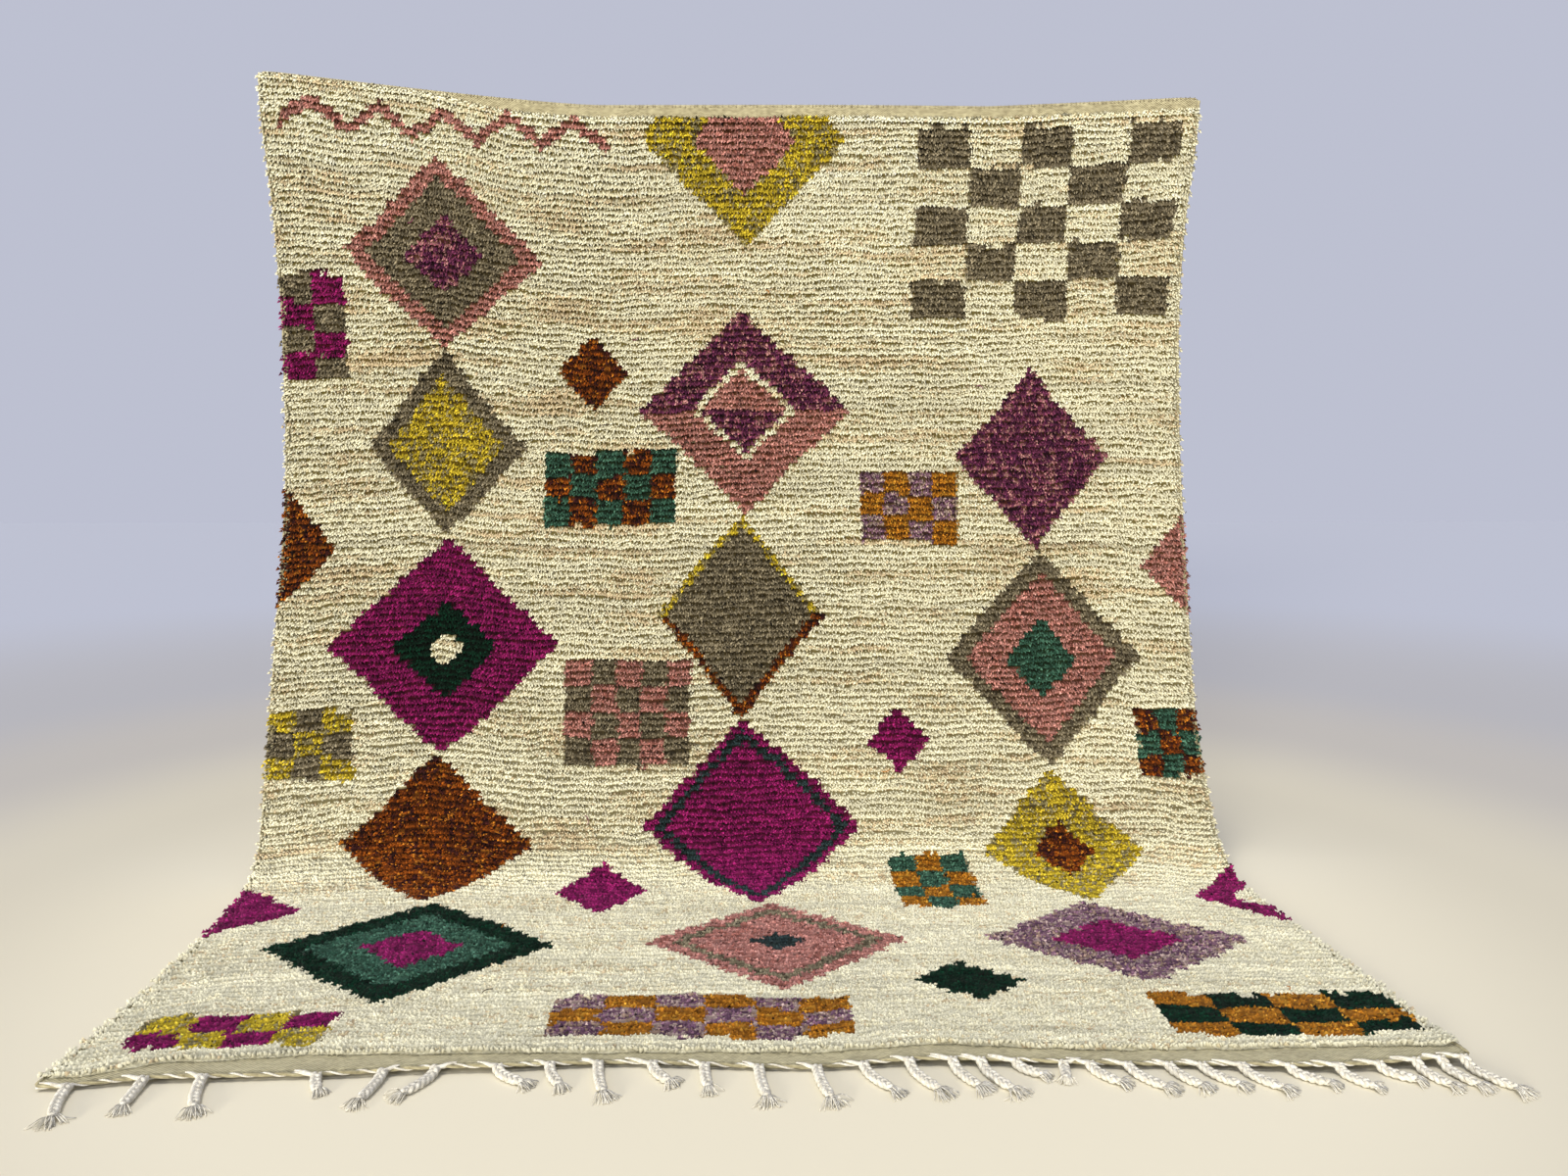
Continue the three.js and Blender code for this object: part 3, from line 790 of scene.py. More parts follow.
def plant(name, standing, shape, size, finish):
    """One piece made of a shape on every point."""
    piece = new_piece(name, standing.points, [])
    for spare in ("lay", "beside", "stretch"):
        give(piece.data, spare, "FLOAT_VECTOR", "POINT", getattr(standing, spare))
    give(piece.data, "dye", "FLOAT_COLOR", "POINT", with_alpha(standing.dye))
    give(piece.data, "lit", "FLOAT", "POINT", standing.lit)
    modifier = piece.modifiers.new("plant", "NODES")
    modifier.node_group = PLANTING
    sockets = {item.name: item.identifier for item in PLANTING.interface.items_tree}
    modifier[sockets["Shape"]] = shape
    modifier[sockets["Size"]] = size
    modifier[sockets["Material"]] = finish
    settle(piece)
    for spare in ("lay", "beside", "stretch"):
        piece.data.attributes.remove(piece.data.attributes[spare])
    count_triangles(piece)
    return piece


print("each point holds its", ", ".join(Standing._fields[1:]))

# %% The two shapes
# Painted shade: the rim of each shape gets a low reach, so the wool material paints shade at a tuft's root.
LOCK_RIM_REACH, LOOP_RIM_REACH = 0.48, 0.66


def small_shape(name, rim, tip, rim_reach):
    """A point over a rim, open below, with how far up the tuft its rim and its tip are."""
    count = len(rim)
    sides = [(number, (number + 1) % count, count) for number in range(count)]
    shape = new_piece(name, [*rim, tip], sides)
    give(shape.data, "reach", "FLOAT", "POINT", [rim_reach] * count + [1.0])
    return shape


THIRDS = [math.tau * third / 3 for third in range(3)]
TRIANGLE = [(math.cos(t), math.sin(t), 0) for t in THIRDS]
SQUARE = [(-0.5, -0.5, 0), (0.5, -0.5, 0), (0.5, 0.5, 0), (-0.5, 0.5, 0)]
LOCK_TIP = small_shape("lock_tip", TRIANGLE, (0, 0, 1), LOCK_RIM_REACH)
BACK_LOOP = small_shape("back_loop", SQUARE, (0, 0, 1), LOOP_RIM_REACH)
print("a lock's tip has", len(LOCK_TIP.data.polygons), "faces and a loop", len(BACK_LOOP.data.polygons))

# %% [markdown]
# The bed of the pile
# A cut end of hand-spun yarn opens into a few locks of fibre. Together they make a dense bed, with their
# tips standing out of it. Modelling every lock down to its knot would cost millions of faces that nobody
# sees, so the pile is two things: a bed, and the tips planted on it. The bed follows the rows. It is low at
# a row's upper side and high at its lower side, and more so where the rug hangs, because there the tufts
# droop. The step between two rows is deeper in some parts than in others.

# %% How high the bed lies
BED_STANDING, BED_HANGING = 11.8 * MM, 8.0 * MM
STEP_STANDING, STEP_HANGING = 2.0 * MM, 5.0 * MM
STEP_DEEPER, DEEP_CLOUD = 0.7, 260 * MM
STEP_FINER, FINE_STEP_CLOUD = 0.4, 38 * MM
LUMP_STANDING, LUMP_HANGING, LUMP_CLOUD = 2.0 * MM, 1.1 * MM, 22 * MM
LUMP_FINER, FINE_LUMP_CLOUD = 0.7, 9 * MM


def deep_rows(across, along):
    """From -1 to 1, how deep the steps between the rows are in that part of the rug."""
    return cloudy(across, along, DEEP_CLOUD, seed=67)


def bed_height(across, along, over_row):
    """How high the bed is, over_row going from -0.5 at a row's lower side to 0.5 at its upper."""
    hang = hanging_share(along)
    uneven = STEP_DEEPER * deep_rows(across, along)
    uneven = uneven + STEP_FINER * cloudy(across, along, FINE_STEP_CLOUD, seed=63)
    step = mix(STEP_STANDING, STEP_HANGING, hang) * (1 + uneven)
    lumps = cloudy(across, along, LUMP_CLOUD, seed=61)
    lumps = lumps + LUMP_FINER * cloudy(across, along, FINE_LUMP_CLOUD, seed=62)
    lumps = lumps * mix(LUMP_STANDING, LUMP_HANGING, hang)
    return mix(BED_STANDING, BED_HANGING, hang) - step * over_row + lumps


print(f"a hanging row steps by {STEP_HANGING / MM} mm")

# %% Where the bed's sections lie
BED_COLUMNS, BED_PAST_KNOTS = 150, 0.45 * KNOT_PITCH
ROW_EDGE = 0.42
column = np.linspace(0, KNOTS - 1, BED_COLUMNS + 1)
left_knot = np.minimum(column.astype(int), KNOTS - 2)
past = column - left_knot
row_middle = mix(knot_along[:, left_knot], knot_along[:, left_knot + 1], past)
row_gap = np.gradient(row_middle, axis=0)
bed_over_row = np.tile([-ROW_EDGE, ROW_EDGE], ROWS)[:, None]
bed_along = np.repeat(row_middle, 2, axis=0) + np.repeat(row_gap, 2, axis=0) * bed_over_row
bed_across = np.tile(mix(column_across[left_knot], column_across[left_knot + 1], past), (2 * ROWS, 1))
bed_across[:, 0] -= BED_PAST_KNOTS
bed_across[:, -1] += BED_PAST_KNOTS
print("the bed's grid is", bed_along.shape)

# %% The bed
RIM_HEIGHT = 2.0 * MM
REACH_LOW_STANDING, REACH_LOW_HANGING, REACH_HIGH = 0.3, 0.25, 0.7


def pile_bed(name):
    """An open sheet whose rim dips into the ground cloth."""
    height = bed_height(bed_across, bed_along, bed_over_row)
    height[[0, -1]] = RIM_HEIGHT
    height[:, [0, -1]] = RIM_HEIGHT
    number = np.arange(height.size).reshape(height.shape)
    a, b, c, d = number[:-1, :-1], number[:-1, 1:], number[1:, 1:], number[1:, :-1]
    faces = np.stack([a, b, c, d], axis=-1).reshape(-1, 4)
    piece = new_piece(name, place(bed_across, bed_along, height), faces, PILE_WOOL)
    face_row = np.minimum((np.arange(2 * ROWS - 1) + 1) // 2, ROWS - 1)[:, None]
    face_knot = np.round((column[:-1] + column[1:]) / 2).astype(int)
    yarn = knot_yarn[face_row, face_knot]
    dye = draw_dyes(yarn, knot_strand[face_row, face_knot]) * knot_tone_and_painted_light[face_row, face_knot][..., None]
    give(piece.data, "dye", "FLOAT_COLOR", "FACE", with_alpha(dye))
    hang = hanging_share(bed_along)
    low = mix(REACH_LOW_STANDING, REACH_LOW_HANGING, hang)
    # Painted shade: the reach is low along each row's upper side, so the wool material darkens the bed
    # there, under the row above.
    give(piece.data, "reach", "FLOAT", "POINT", np.where(bed_over_row > 0, low, REACH_HIGH))
    give(piece.data, "lit", "FLOAT", "POINT", lit_share(hang))
    count_triangles(piece)
    return piece


bed = pile_bed("pile_bed")

# %% [markdown]
# The locks' tips
# Each knot gets four tips, two for each of its cut ends. On the floor they stand up, lean every way and
# open into short round tufts. Where the rug hangs they droop, gather toward the row's lower side and look
# longer, and each row covers the foot of the row below. That draws the fine dark lines across a hanging
# rug, together with painted shade on the tips that the row above covers. The painted shade is deepest in
# dyed wool, because it passes on less light than ivory does.

# %% Where the tips stand
TIPS = (*knot_across.shape, 2, 2)
CUT_ENDS = np.array([-0.25, 0.25])[:, None] * KNOT_PITCH
OVER_STANDING = np.array([[-0.38, 0.12], [-0.13, 0.37]])
OVER_HANGING = np.array([[-0.4, 0.06], [-0.17, 0.29]])
OFF_ALONG, OFF_ACROSS = 0.07, 0.9 * MM
SIDE_FROM, SIDE_OVER, SIDE_OUT = HALF_WIDTH - 18 * MM, 14 * MM, 4 * MM


def each_tip(values):
    """Values of the knots, ready to meet those of their four tips."""
    return values[..., None, None]


tip_hang = np.broadcast_to(each_tip(hanging_share(knot_along)), TIPS)
over_row = mix(OVER_STANDING, OVER_HANGING, tip_hang)
over_row = over_row + OFF_ALONG * chance.normal(0, 1, TIPS)
tip_across = each_tip(knot_across) + CUT_ENDS + chance.normal(0, OFF_ACROSS, TIPS)
outward = SIDE_OUT * smooth((np.abs(tip_across) - SIDE_FROM) / SIDE_OVER)
tip_across = tip_across + np.sign(tip_across) * outward
tip_along = each_tip(knot_along) + each_tip(np.gradient(knot_along, axis=0)) * over_row
print(tip_along.size, "tips")

# %% How they lie
DROOP_STANDING, DROOP_HANGING, DROOP_CLUMP, DROOP_LOOSE = 12.0, 34.0, 16.0, 6.0
EDGE_ROWS, OVER_HEM, OVER_TOP = 1.5, 0.4, 0.5
CLUMP_CLOUD = 9 * MM
SWAY_CLUMP, SWAY_LOOSE, SWAY_OUT, SIDE_NEAR = 0.45, 0.1, 0.25, 26 * MM
SIDEWAYS = np.array([1.0, 0.0, 0.0])
clump = cloudy(tip_across, tip_along, CLUMP_CLOUD, seed=64)
droop = mix(DROOP_STANDING, DROOP_HANGING, tip_hang) + DROOP_CLUMP * clump
droop = np.radians(droop + DROOP_LOOSE * chance.normal(0, 1, TIPS))
near_hem = smooth(1 - (each_tip(row) + over_row + 0.5) / EDGE_ROWS)
near_top = smooth(1 - (ROWS - 0.5 - each_tip(row) - over_row) / EDGE_ROWS)
climb = -np.sin(droop) - OVER_HEM * near_hem + OVER_TOP * near_top
near_side = smooth((np.abs(tip_across) - (HALF_WIDTH - SIDE_NEAR)) / SIDE_NEAR)
sway = SWAY_CLUMP * cloudy(tip_across, tip_along, CLUMP_CLOUD, seed=65)
sway = sway + SWAY_OUT * near_side * np.sign(tip_across)
sway = sway + chance.normal(0, SWAY_LOOSE, TIPS)
out_way, up_way = cloth_ways(tip_along)
lay = out_way * np.cos(droop)[..., None] + up_way * climb[..., None] + SIDEWAYS * sway[..., None]
lay /= np.linalg.norm(lay, axis=-1, keepdims=True)
turn = chance.uniform(0, math.tau, TIPS)[..., None]
beside = SIDEWAYS * np.cos(turn) + up_way * np.sin(turn)
print(f"they droop by {math.degrees(droop.min()):.0f} to {math.degrees(droop.max()):.0f} degrees")

# %% How long and how wide they are
TIP_RADIUS, TIP_LENGTH = 4.1 * MM, 6.6 * MM
SHORTER_STANDING, LONGER_HANGING, WIDER_STANDING = 0.85, 1.4, 1.2
LONGER_BY_HEM, HEM_VARIES, HEM_CLOUD = 0.1, 0.5, 17 * MM
LENGTH_LOOSE, LENGTH_VARIES, LENGTH_CLOUD = 0.12, 0.16, 11 * MM
WIDTH_LOOSE, FLATTEST, FULLEST = 0.16, 0.75, 1.1
TIP_ROOT = 2.2 * MM
by_hem = LONGER_BY_HEM + HEM_VARIES * cloudy(tip_across, 0 * tip_across, HEM_CLOUD, seed=68)
uneven = LENGTH_LOOSE * chance.normal(0, 1, TIPS)
uneven = uneven + LENGTH_VARIES * cloudy(tip_across, tip_along, LENGTH_CLOUD, seed=66)
longer = mix(SHORTER_STANDING, LONGER_HANGING, tip_hang) * (1 + near_hem * by_hem) * (1 + uneven)
wider = mix(WIDER_STANDING, 1, tip_hang) * (1 + WIDTH_LOOSE * chance.normal(0, 1, TIPS))
stretch = np.stack([wider, wider * chance.uniform(FLATTEST, FULLEST, TIPS), longer], axis=-1)
roots = place(tip_across, tip_along, bed_height(tip_across, tip_along, over_row) - TIP_ROOT)
print(f"the longest is {longer.max() * TIP_LENGTH / MM:.1f} mm")

# %% What colour they are
LIGHTEST, TIP_SHADE, IVORY_STANDING, IVORY_HANGING = 1.04, 0.36, 0.05, 0.17
PAINTED_SHADE_STANDING, PAINTED_SHADE_HANGING, PAINTED_SHADE_FROM, PAINTED_SHADE_OVER = 0.1, 0.52, 0.1, 0.3
DYED_SHADE_DEEPER, PAINTED_SHADE_VARIES, SHADE_CLOUD, PAINTED_SHADE_BY_HEM = 0.5, 0.5, 60 * MM, 0.28
tip_yarn = np.broadcast_to(each_tip(knot_yarn), TIPS)
tip_strand = np.broadcast_to(each_tip(knot_strand), TIPS)
# Painted shade: tips on a row's upper side, which the row above covers, are darkened in colour. It varies
# with how deep the steps between the rows are, and is deeper in dyed wool.
shade_depth = 1 + PAINTED_SHADE_VARIES * deep_rows(tip_across, tip_along)
shade_depth = shade_depth + PAINTED_SHADE_VARIES * cloudy(tip_across, tip_along, SHADE_CLOUD, seed=69)
upper_side = smooth((over_row - PAINTED_SHADE_FROM) / PAINTED_SHADE_OVER)
painted_row_shade = mix(PAINTED_SHADE_STANDING, PAINTED_SHADE_HANGING, tip_hang) * shade_depth * upper_side
painted_row_shade = painted_row_shade * np.where(tip_yarn == 0, 1, 1 + DYED_SHADE_DEEPER)
calm = np.where(tip_yarn == 0, mix(IVORY_STANDING, IVORY_HANGING, tip_hang), 1.0)
light = each_tip(knot_tone_and_painted_light) * (LIGHTEST - painted_row_shade) * (1 + TIP_SHADE * calm * chance.normal(0, 1, TIPS))
# Painted shade: the first row over the hem is darkened, because its tips face the light.
light = light * (1 - PAINTED_SHADE_BY_HEM * near_hem)
tip_dye = draw_dyes(tip_yarn, tip_strand) * light[..., None]
print("mean linear colour", tip_dye.reshape(-1, 3).mean(axis=0).round(2).tolist())

# %% [markdown]
# Planting the pile
# The tips have over half a million faces. One mesh for all of them would be too heavy to handle, so the rows
# are shared out over five pieces, from the hem upward.

# %% The pile
PILE_PIECES = 5
TIP_SIZE = (TIP_RADIUS, TIP_RADIUS, TIP_LENGTH)
all_tips = Standing(roots, lay, beside, stretch, tip_dye, lit_share(tip_hang))
pile = []
for number, rows_here in enumerate(np.array_split(np.arange(ROWS), PILE_PIECES)):
    part = Standing(*(values[rows_here].reshape(-1, *values.shape[4:]) for values in all_tips))
    pile.append(plant(f"pile_{number + 1}", part, LOCK_TIP, TIP_SIZE, PILE_WOOL))

# %% [markdown]
# The backs of the knots
# Behind the cloth, every knot shows as a loop in its own dye, so the motifs can be read from the back as
# well, in short bars. Each is a low mound that nearly fills its place. Under the part that is pressed to
# the floor there is nothing to see, and none is made.

# %% The knots' backs
BACK_DEPTH = KNOT_BACK + RIB
BACK_SIZE = (7.4 * MM, 10.6 * MM, BACK_DEPTH)
BACK_LOOSE = 0.08
OFF_FLOOR = 0.02


def knot_backs():
    """The loops of all knots but those where the cloth lies flat."""
    shown = side_way(knot_along)[1] > OFF_FLOOR
    across, along = knot_across[shown], knot_along[shown]
    out_way, _ = cloth_ways(along)
    loose = 1 + BACK_LOOSE * chance.normal(0, 1, (3, len(across)))
    stretch = np.stack([loose[0], loose[1], np.ones(len(across))], axis=-1)
    dye = draw_dyes(knot_yarn[shown], knot_strand[shown]) * (knot_tone_and_painted_light[shown] * loose[2])[:, None]
    beside = np.tile(SIDEWAYS, (len(across), 1))
    return Standing(place(across, along, BACK_DEPTH), -out_way, beside, stretch, dye, np.zeros(len(across)))


knot_back_piece = plant("knot_backs", knot_backs(), BACK_LOOP, BACK_SIZE, PILE_WOOL)
for spare in (LOCK_TIP, BACK_LOOP):
    bpy.data.objects.remove(spare)

# %% [markdown]
# Yarns that follow a path
# Selvedges, cords, plaits, stitches and loose threads are all round yarns, so one helper sweeps a ring of
# points along any line and closes both ends. A curve with a bevel would do much the same, but here the
# drape already gives the lines as arrays of points. Where yarns wind about each other, each path is the
# middle line plus a turn of its own.

# %% A yarn swept along a path
STEEP, TINY = 0.9, 1e-12


def ring_frames(path):
    """Steady sideways and upward directions along a path, for rings that don't twist."""
    way = np.gradient(path, axis=0)
    way /= np.linalg.norm(way, axis=1)[:, None] + TINY
    up = np.zeros_like(way)
    guess = np.array([0.0, 0.0, 1.0]) if abs(way[0, 2]) < STEEP else np.array([0.0, 1.0, 0.0])
    for number, step in enumerate(way):
        guess = guess - step * (guess @ step)
        guess = guess / (np.linalg.norm(guess) + TINY)
        up[number] = guess
    return np.cross(way, up), up


def swept(path, radius, sides):
    """Places and faces of a closed yarn along a path. The radius is one value or one for each point."""
    path = np.asarray(path, float)
    side, up = ring_frames(path)
    turns = np.arange(sides) * math.tau / sides
    radius = np.broadcast_to(radius, len(path))[:, None, None]
    ring = side[:, None] * np.cos(turns)[None, :, None] + up[:, None] * np.sin(turns)[None, :, None]
    places = (path[:, None] + radius * ring).reshape(-1, 3)
    first = np.arange((len(path) - 1) * sides)
    after = first - first % sides + (first + 1) % sides
    round_it = np.stack([first, first + sides, after + sides, after], axis=-1).tolist()
    return places, [*round_it, range(sides), range(len(places) - 1, len(places) - 1 - sides, -1)]


def yarn_piece(name, yarns, finish, dyes=()):
    """One piece from many swept yarns, with a dye for each of them where they are of dyed wool."""
    faces, count = [], 0
    for places, sides in yarns:
        faces += [[count + corner for corner in face] for face in sides]
        count += len(places)
    piece = new_piece(name, np.vstack([places for places, _ in yarns]), faces, finish)
    if dyes:
        each = [np.tile(linear(dye), (len(sides), 1)) for dye, (_, sides) in zip(dyes, yarns)]
        give(piece.data, "dye", "FLOAT_COLOR", "FACE", np.concatenate(each))
        give(piece.data, "reach", "FLOAT", "POINT", np.ones(count))
    count_triangles(piece)
    return piece


trial = swept([(0, 0, 0), (1, 0, 0)], radius=0.1, sides=6)
print("a yarn of two points and six sides has", len(trial[1]), "faces")

# %% [markdown]
# Selvedges
# The outermost warps are thick, and the weft wraps them as it turns, so a selvedge is a firm round edge
# that bulges once for each row of knots.

# %% The selvedges
SELVEDGE_RADIUS, SELVEDGE_HEIGHT, SELVEDGE_OUT = 3.2 * MM, 3.5 * MM, 1 * MM
THINNER, BULGE = 0.9, 0.14


def selvedge(side):
    """The selvedge at the left, -1, or at the right, 1."""
    along = np.linspace(0, RUG_LENGTH, 2 * ROWS + 1)
    path = place(side * (CLOTH_EDGE + SELVEDGE_OUT), along, SELVEDGE_HEIGHT)
    return swept(path, SELVEDGE_RADIUS * (THINNER + BULGE * (np.arange(len(along)) % 2)), sides=6)


selvedges = yarn_piece("selvedges", [selvedge(-1), selvedge(1)], GROUND)

# %% [markdown]
# The hem cord
# After the last shot of weft the weaver locks it with two strands that twist about each other along the
# whole hem: a thick one of the rug's beige wool and a thin one of white cotton. They are two pieces because
# their materials differ. Each goes round once in 44 mm, and not quite evenly.

# %% The hem cord
CORD_GAP, CORD_DEPTH, CORD_SINK = 0.3 * MM, 7 * MM, 1 * MM
CORD_TWIST, CORD_END = 44 * MM, 6 * MM
CORD_STEPS, CORD_UNEVEN, CORD_CLOUD = 560, 1.3, 70 * MM
THIN_STRAND, THICK_STRAND = 1.5 * MM, 2.7 * MM


def hem_middle(across):
    """The middle line of the cord in front of the hem."""
    path = place(across, 0.0, 0.0)
    path[..., 1] -= CORD_GAP + CORD_DEPTH / 2
    path[..., 2] = np.maximum(path[..., 2] - CORD_SINK, 0) + CORD_DEPTH / 2
    return path


def cord_strand(turned, radius):
    """One strand, which begins at a turn of its own."""
    across = np.linspace(-HALF_WIDTH + CORD_END, HALF_WIDTH - CORD_END, CORD_STEPS)
    path = hem_middle(across)
    uneven = CORD_UNEVEN * cloudy(across, 0 * across, CORD_CLOUD, seed=71)
    angle = math.tau * across / CORD_TWIST + turned + uneven
    path[:, 1] += (CORD_DEPTH / 2 - radius) * np.cos(angle)
    path[:, 2] += (CORD_DEPTH / 2 - radius) * np.sin(angle)
    return swept(path, radius, sides=6)


hem_cord = yarn_piece("hem_cord_cotton", [cord_strand(0, THIN_STRAND)], COTTON)
hem_cord_wool = yarn_piece("hem_cord_wool", [cord_strand(math.pi, THICK_STRAND)], GROUND)

# %% [markdown]
# The plaits
# Thirty plaits of three cotton strands lie on the floor in front of the hem, each bent its own way. They
# are the ends of the warps, gathered from one side along the hem and braided by hand. A texture on a tube
# wouldn't give their zigzag outline, so the strands are modelled. Each strand swings from side to side in a
# figure of eight, a third of a turn after the one before, and passes over and under as it does.

# %% Where the plaits lie
Plait = namedtuple("Plait", "across aside out")
PLAITS = [  # millimetres: the root across the rug, and how far aside and out from there the tip lies
    Plait(-953, 34, 94), Plait(-859, 7, 82), Plait(-781, 34, 91), Plait(-627, 23, 48), Plait(-537, -17, 88),
    Plait(-465, -44, 73), Plait(-381, 58, 44), Plait(-308, 33, 62), Plait(-240, 26, 94), Plait(-164, 40, 57),
    Plait(-89, 12, 74), Plait(-12, 18, 99), Plait(70, 25, 99), Plait(136, 50, 75), Plait(201, 50, 87),
    Plait(263, 42, 78), Plait(303, 48, 87), Plait(352, 44, 38), Plait(420, -8, 48), Plait(456, 44, 57),
    Plait(509, 52, 70), Plait(567, 42, 65), Plait(613, 50, 60), Plait(668, 52, 67), Plait(733, 55, 46),
    Plait(801, 40, 56), Plait(860, 50, 40), Plait(915, 31, 68), Plait(952, 34, 74), Plait(985, 52, 86),
]
STRAND_RADIUS, PLAIT_SWING, PLAIT_CROSS, PLAIT_PITCH = 3.4 * MM, 5.0 * MM, 2.0 * MM, 28 * MM
ROUTE_STEPS, BEND_ASIDE, DOWN_AT = 60, 0.1, 0.28


def plait_route(lying):
    """The plait's middle line on the floor, from the cord to its tip."""
    root = hem_middle(np.array(lying.across * MM))
    tip = root + np.array([lying.aside, -lying.out, 0]) * MM
    bend = np.array([root[0] + BEND_ASIDE * lying.aside * MM, (root[1] + tip[1]) / 2, 0])
    t = np.linspace(0, 1, ROUTE_STEPS)[:, None]
    line = (1 - t) ** 2 * root + 2 * t * (1 - t) * bend + t**2 * tip
    line[:, 2] = mix(root[2], STRAND_RADIUS + PLAIT_CROSS, smooth(t[:, 0] / DOWN_AT))
    return line


print(len(PLAITS), "plaits")

# %% The strands of a plait
PLAIT_SHARE = 0.76
STRAND_STEP, LEAST_STEPS = 2.4 * MM, 14
TIED_FROM, TIED_NARROWER = 0.86, 0.42


def plait_strands(line):
    """Three strands along the first part of a line, where the plait ends, its heading and what is left."""
    run = np.concatenate([[0], np.cumsum(np.linalg.norm(np.diff(line, axis=0), axis=1))])
    total = run[-1] * PLAIT_SHARE
    at = np.linspace(0, total, max(LEAST_STEPS, int(total / STRAND_STEP)))
    middle = np.stack([np.interp(at, run, line[:, axis]) for axis in range(3)], axis=-1)
    side, up = ring_frames(middle)
    tight = 1 - TIED_NARROWER * smooth((at / total - TIED_FROM) / (1 - TIED_FROM))
    strands = []
    for third in range(3):
        angle = math.tau * (at / PLAIT_PITCH + third / 3)
        swing, cross = PLAIT_SWING * np.sin(angle) * tight, PLAIT_CROSS * np.sin(2 * angle) * tight
        path = middle + side * swing[:, None] + up * cross[:, None]
        path[:, 2] = np.maximum(path[:, 2], STRAND_RADIUS)
        strands.append(swept(path, STRAND_RADIUS * tight**0.5, sides=6))
    heading = middle[-1] - middle[-3]
    return strands, middle[-1], heading / np.linalg.norm(heading), run[-1] - total


print(f"each strand of a plait swings across and back in {PLAIT_PITCH / MM:.0f} mm")

# %% [markdown]
# Both ends of a plait
# At its root the warps of about 30 mm of hem run in along the cord and grow into a bundle. At its tip the
# last strand is knotted round the others, and beyond this tie the threads fall open and rest on the floor.

# %% The leads, ties and tufts
LEAD, LEAD_VARIES, LEAD_TURN, LEAD_STEPS = 30 * MM, 0.3, 7, 9
LEAD_OUT, LEAD_UP, LEAD_RADIUS = (-3.4, 3.6), (3.6, 0.6), (1.2, 3.0)  # millimetres at its start and end
TIE_STEPS, TIE_RADII = (-3, -1.5, 0, 1.5, 3), (3.6, 4.8, 5.1, 4.8, 3.8)  # millimetres
LOOSE_THREADS, THREAD_STEPS, THREAD_RADIUS, THREAD_TAPER = 34, 5, 1.1 * MM, 0.45
THREAD_REACH, THREAD_LIFT, THREAD_LOW, SOONER_DOWN = (0.85, 1.2), (0.1, 1.0), 0.9 * MM, 1.3
TUFT_SPREAD, TUFT_CURL, TUFT_LIFT, TUFT_WIDTH = 0.34, 0.2, 6 * MM, 9 * MM


def plait_lead(lying):
    """The bundle of warps along the hem, on the side that the plait leans away from."""
    lean = -1 if lying.aside > 0 else 1
    t = np.linspace(0, 1, LEAD_STEPS)
    length = LEAD * (1 + LEAD_VARIES * math.sin(LEAD_TURN * lying.across))
    path = hem_middle(lying.across * MM + lean * length * (1 - t))
    path[:, 1] -= mix(*LEAD_OUT, smooth(t)) * MM
    path[:, 2] += mix(*LEAD_UP, smooth(t)) * MM
    return swept(path, mix(*LEAD_RADIUS, smooth(2 * t)) * MM, sides=6)


def plait_tie(end, heading):
    """A short fat ring."""
    path = [end + heading * step * MM for step in TIE_STEPS]
    return swept(path, np.array(TIE_RADII) * MM, sides=8)


def plait_tuft(end, heading, reach):
    """Loose threads that fan out from the tie and come down to the floor."""
    side = np.cross(heading, [0, 0, 1.0])
    t = np.linspace(0, 1, THREAD_STEPS)[:, None]
    threads = []
    for _ in range(LOOSE_THREADS):
        spread, curl = chance.normal(0, TUFT_SPREAD), chance.normal(0, TUFT_CURL)
        length, lift = reach * chance.uniform(*THREAD_REACH), TUFT_LIFT * chance.uniform(*THREAD_LIFT)
        way = heading * np.cos(spread + curl * t) + side * np.sin(spread + curl * t)
        path = end + way * t * length + side * spread * TUFT_WIDTH
        fall = mix(end[2], THREAD_LOW, smooth(SOONER_DOWN * t[:, 0])) + lift * np.sin(math.pi * t[:, 0])
        path[:, 2] = np.maximum(THREAD_RADIUS, fall)
        threads.append(swept(path, THREAD_RADIUS * (1 - THREAD_TAPER * t[:, 0]), sides=3))
    return threads


print(f"a tie is {2 * max(TIE_RADII):.1f} mm thick, with {LOOSE_THREADS} threads beyond it")

# %% The plaited fringe
fringe_yarns = []
for lying in PLAITS:
    strands, end, heading, left_over = plait_strands(plait_route(lying))
    fringe_yarns += [plait_lead(lying), *strands, plait_tie(end, heading)]
    fringe_yarns += plait_tuft(end, heading, left_over)
plaits = yarn_piece("plaited_fringe", fringe_yarns, COTTON)

# %% [markdown]
# Stitches and stray ends
# The bare top edge is overcast with a dark thread, about every 9 mm. Where the weaver changed yarn at a
# selvedge, dark ends stick out, and a few offcuts still lie in the pile. They are small, but they are what
# makes a clean shape look used.

# %% Stitches along the top edge
STITCH_PITCH, STITCH_RADIUS, STITCH_REACH = 9 * MM, 1 * MM, 4.7 * MM
STITCH_OFF, REACH_OFF = 1.6 * MM, 1.5
STITCH_LEAN, LEAN_MIDDLE, LEAN_LOOSE = 2.4 * MM, 0.6, 0.3
OVER_FRONT, OVER_BACK, OVER_EDGE, ROUNDED = 0.5 * MM, 0.3 * MM, 0.7 * MM, 0.7
STITCH_FROM, STITCH_TO = TOP_BAND_FROM - 60 * MM, HALF_WIDTH - 12 * MM
STITCH_DYE = "#5b5140"


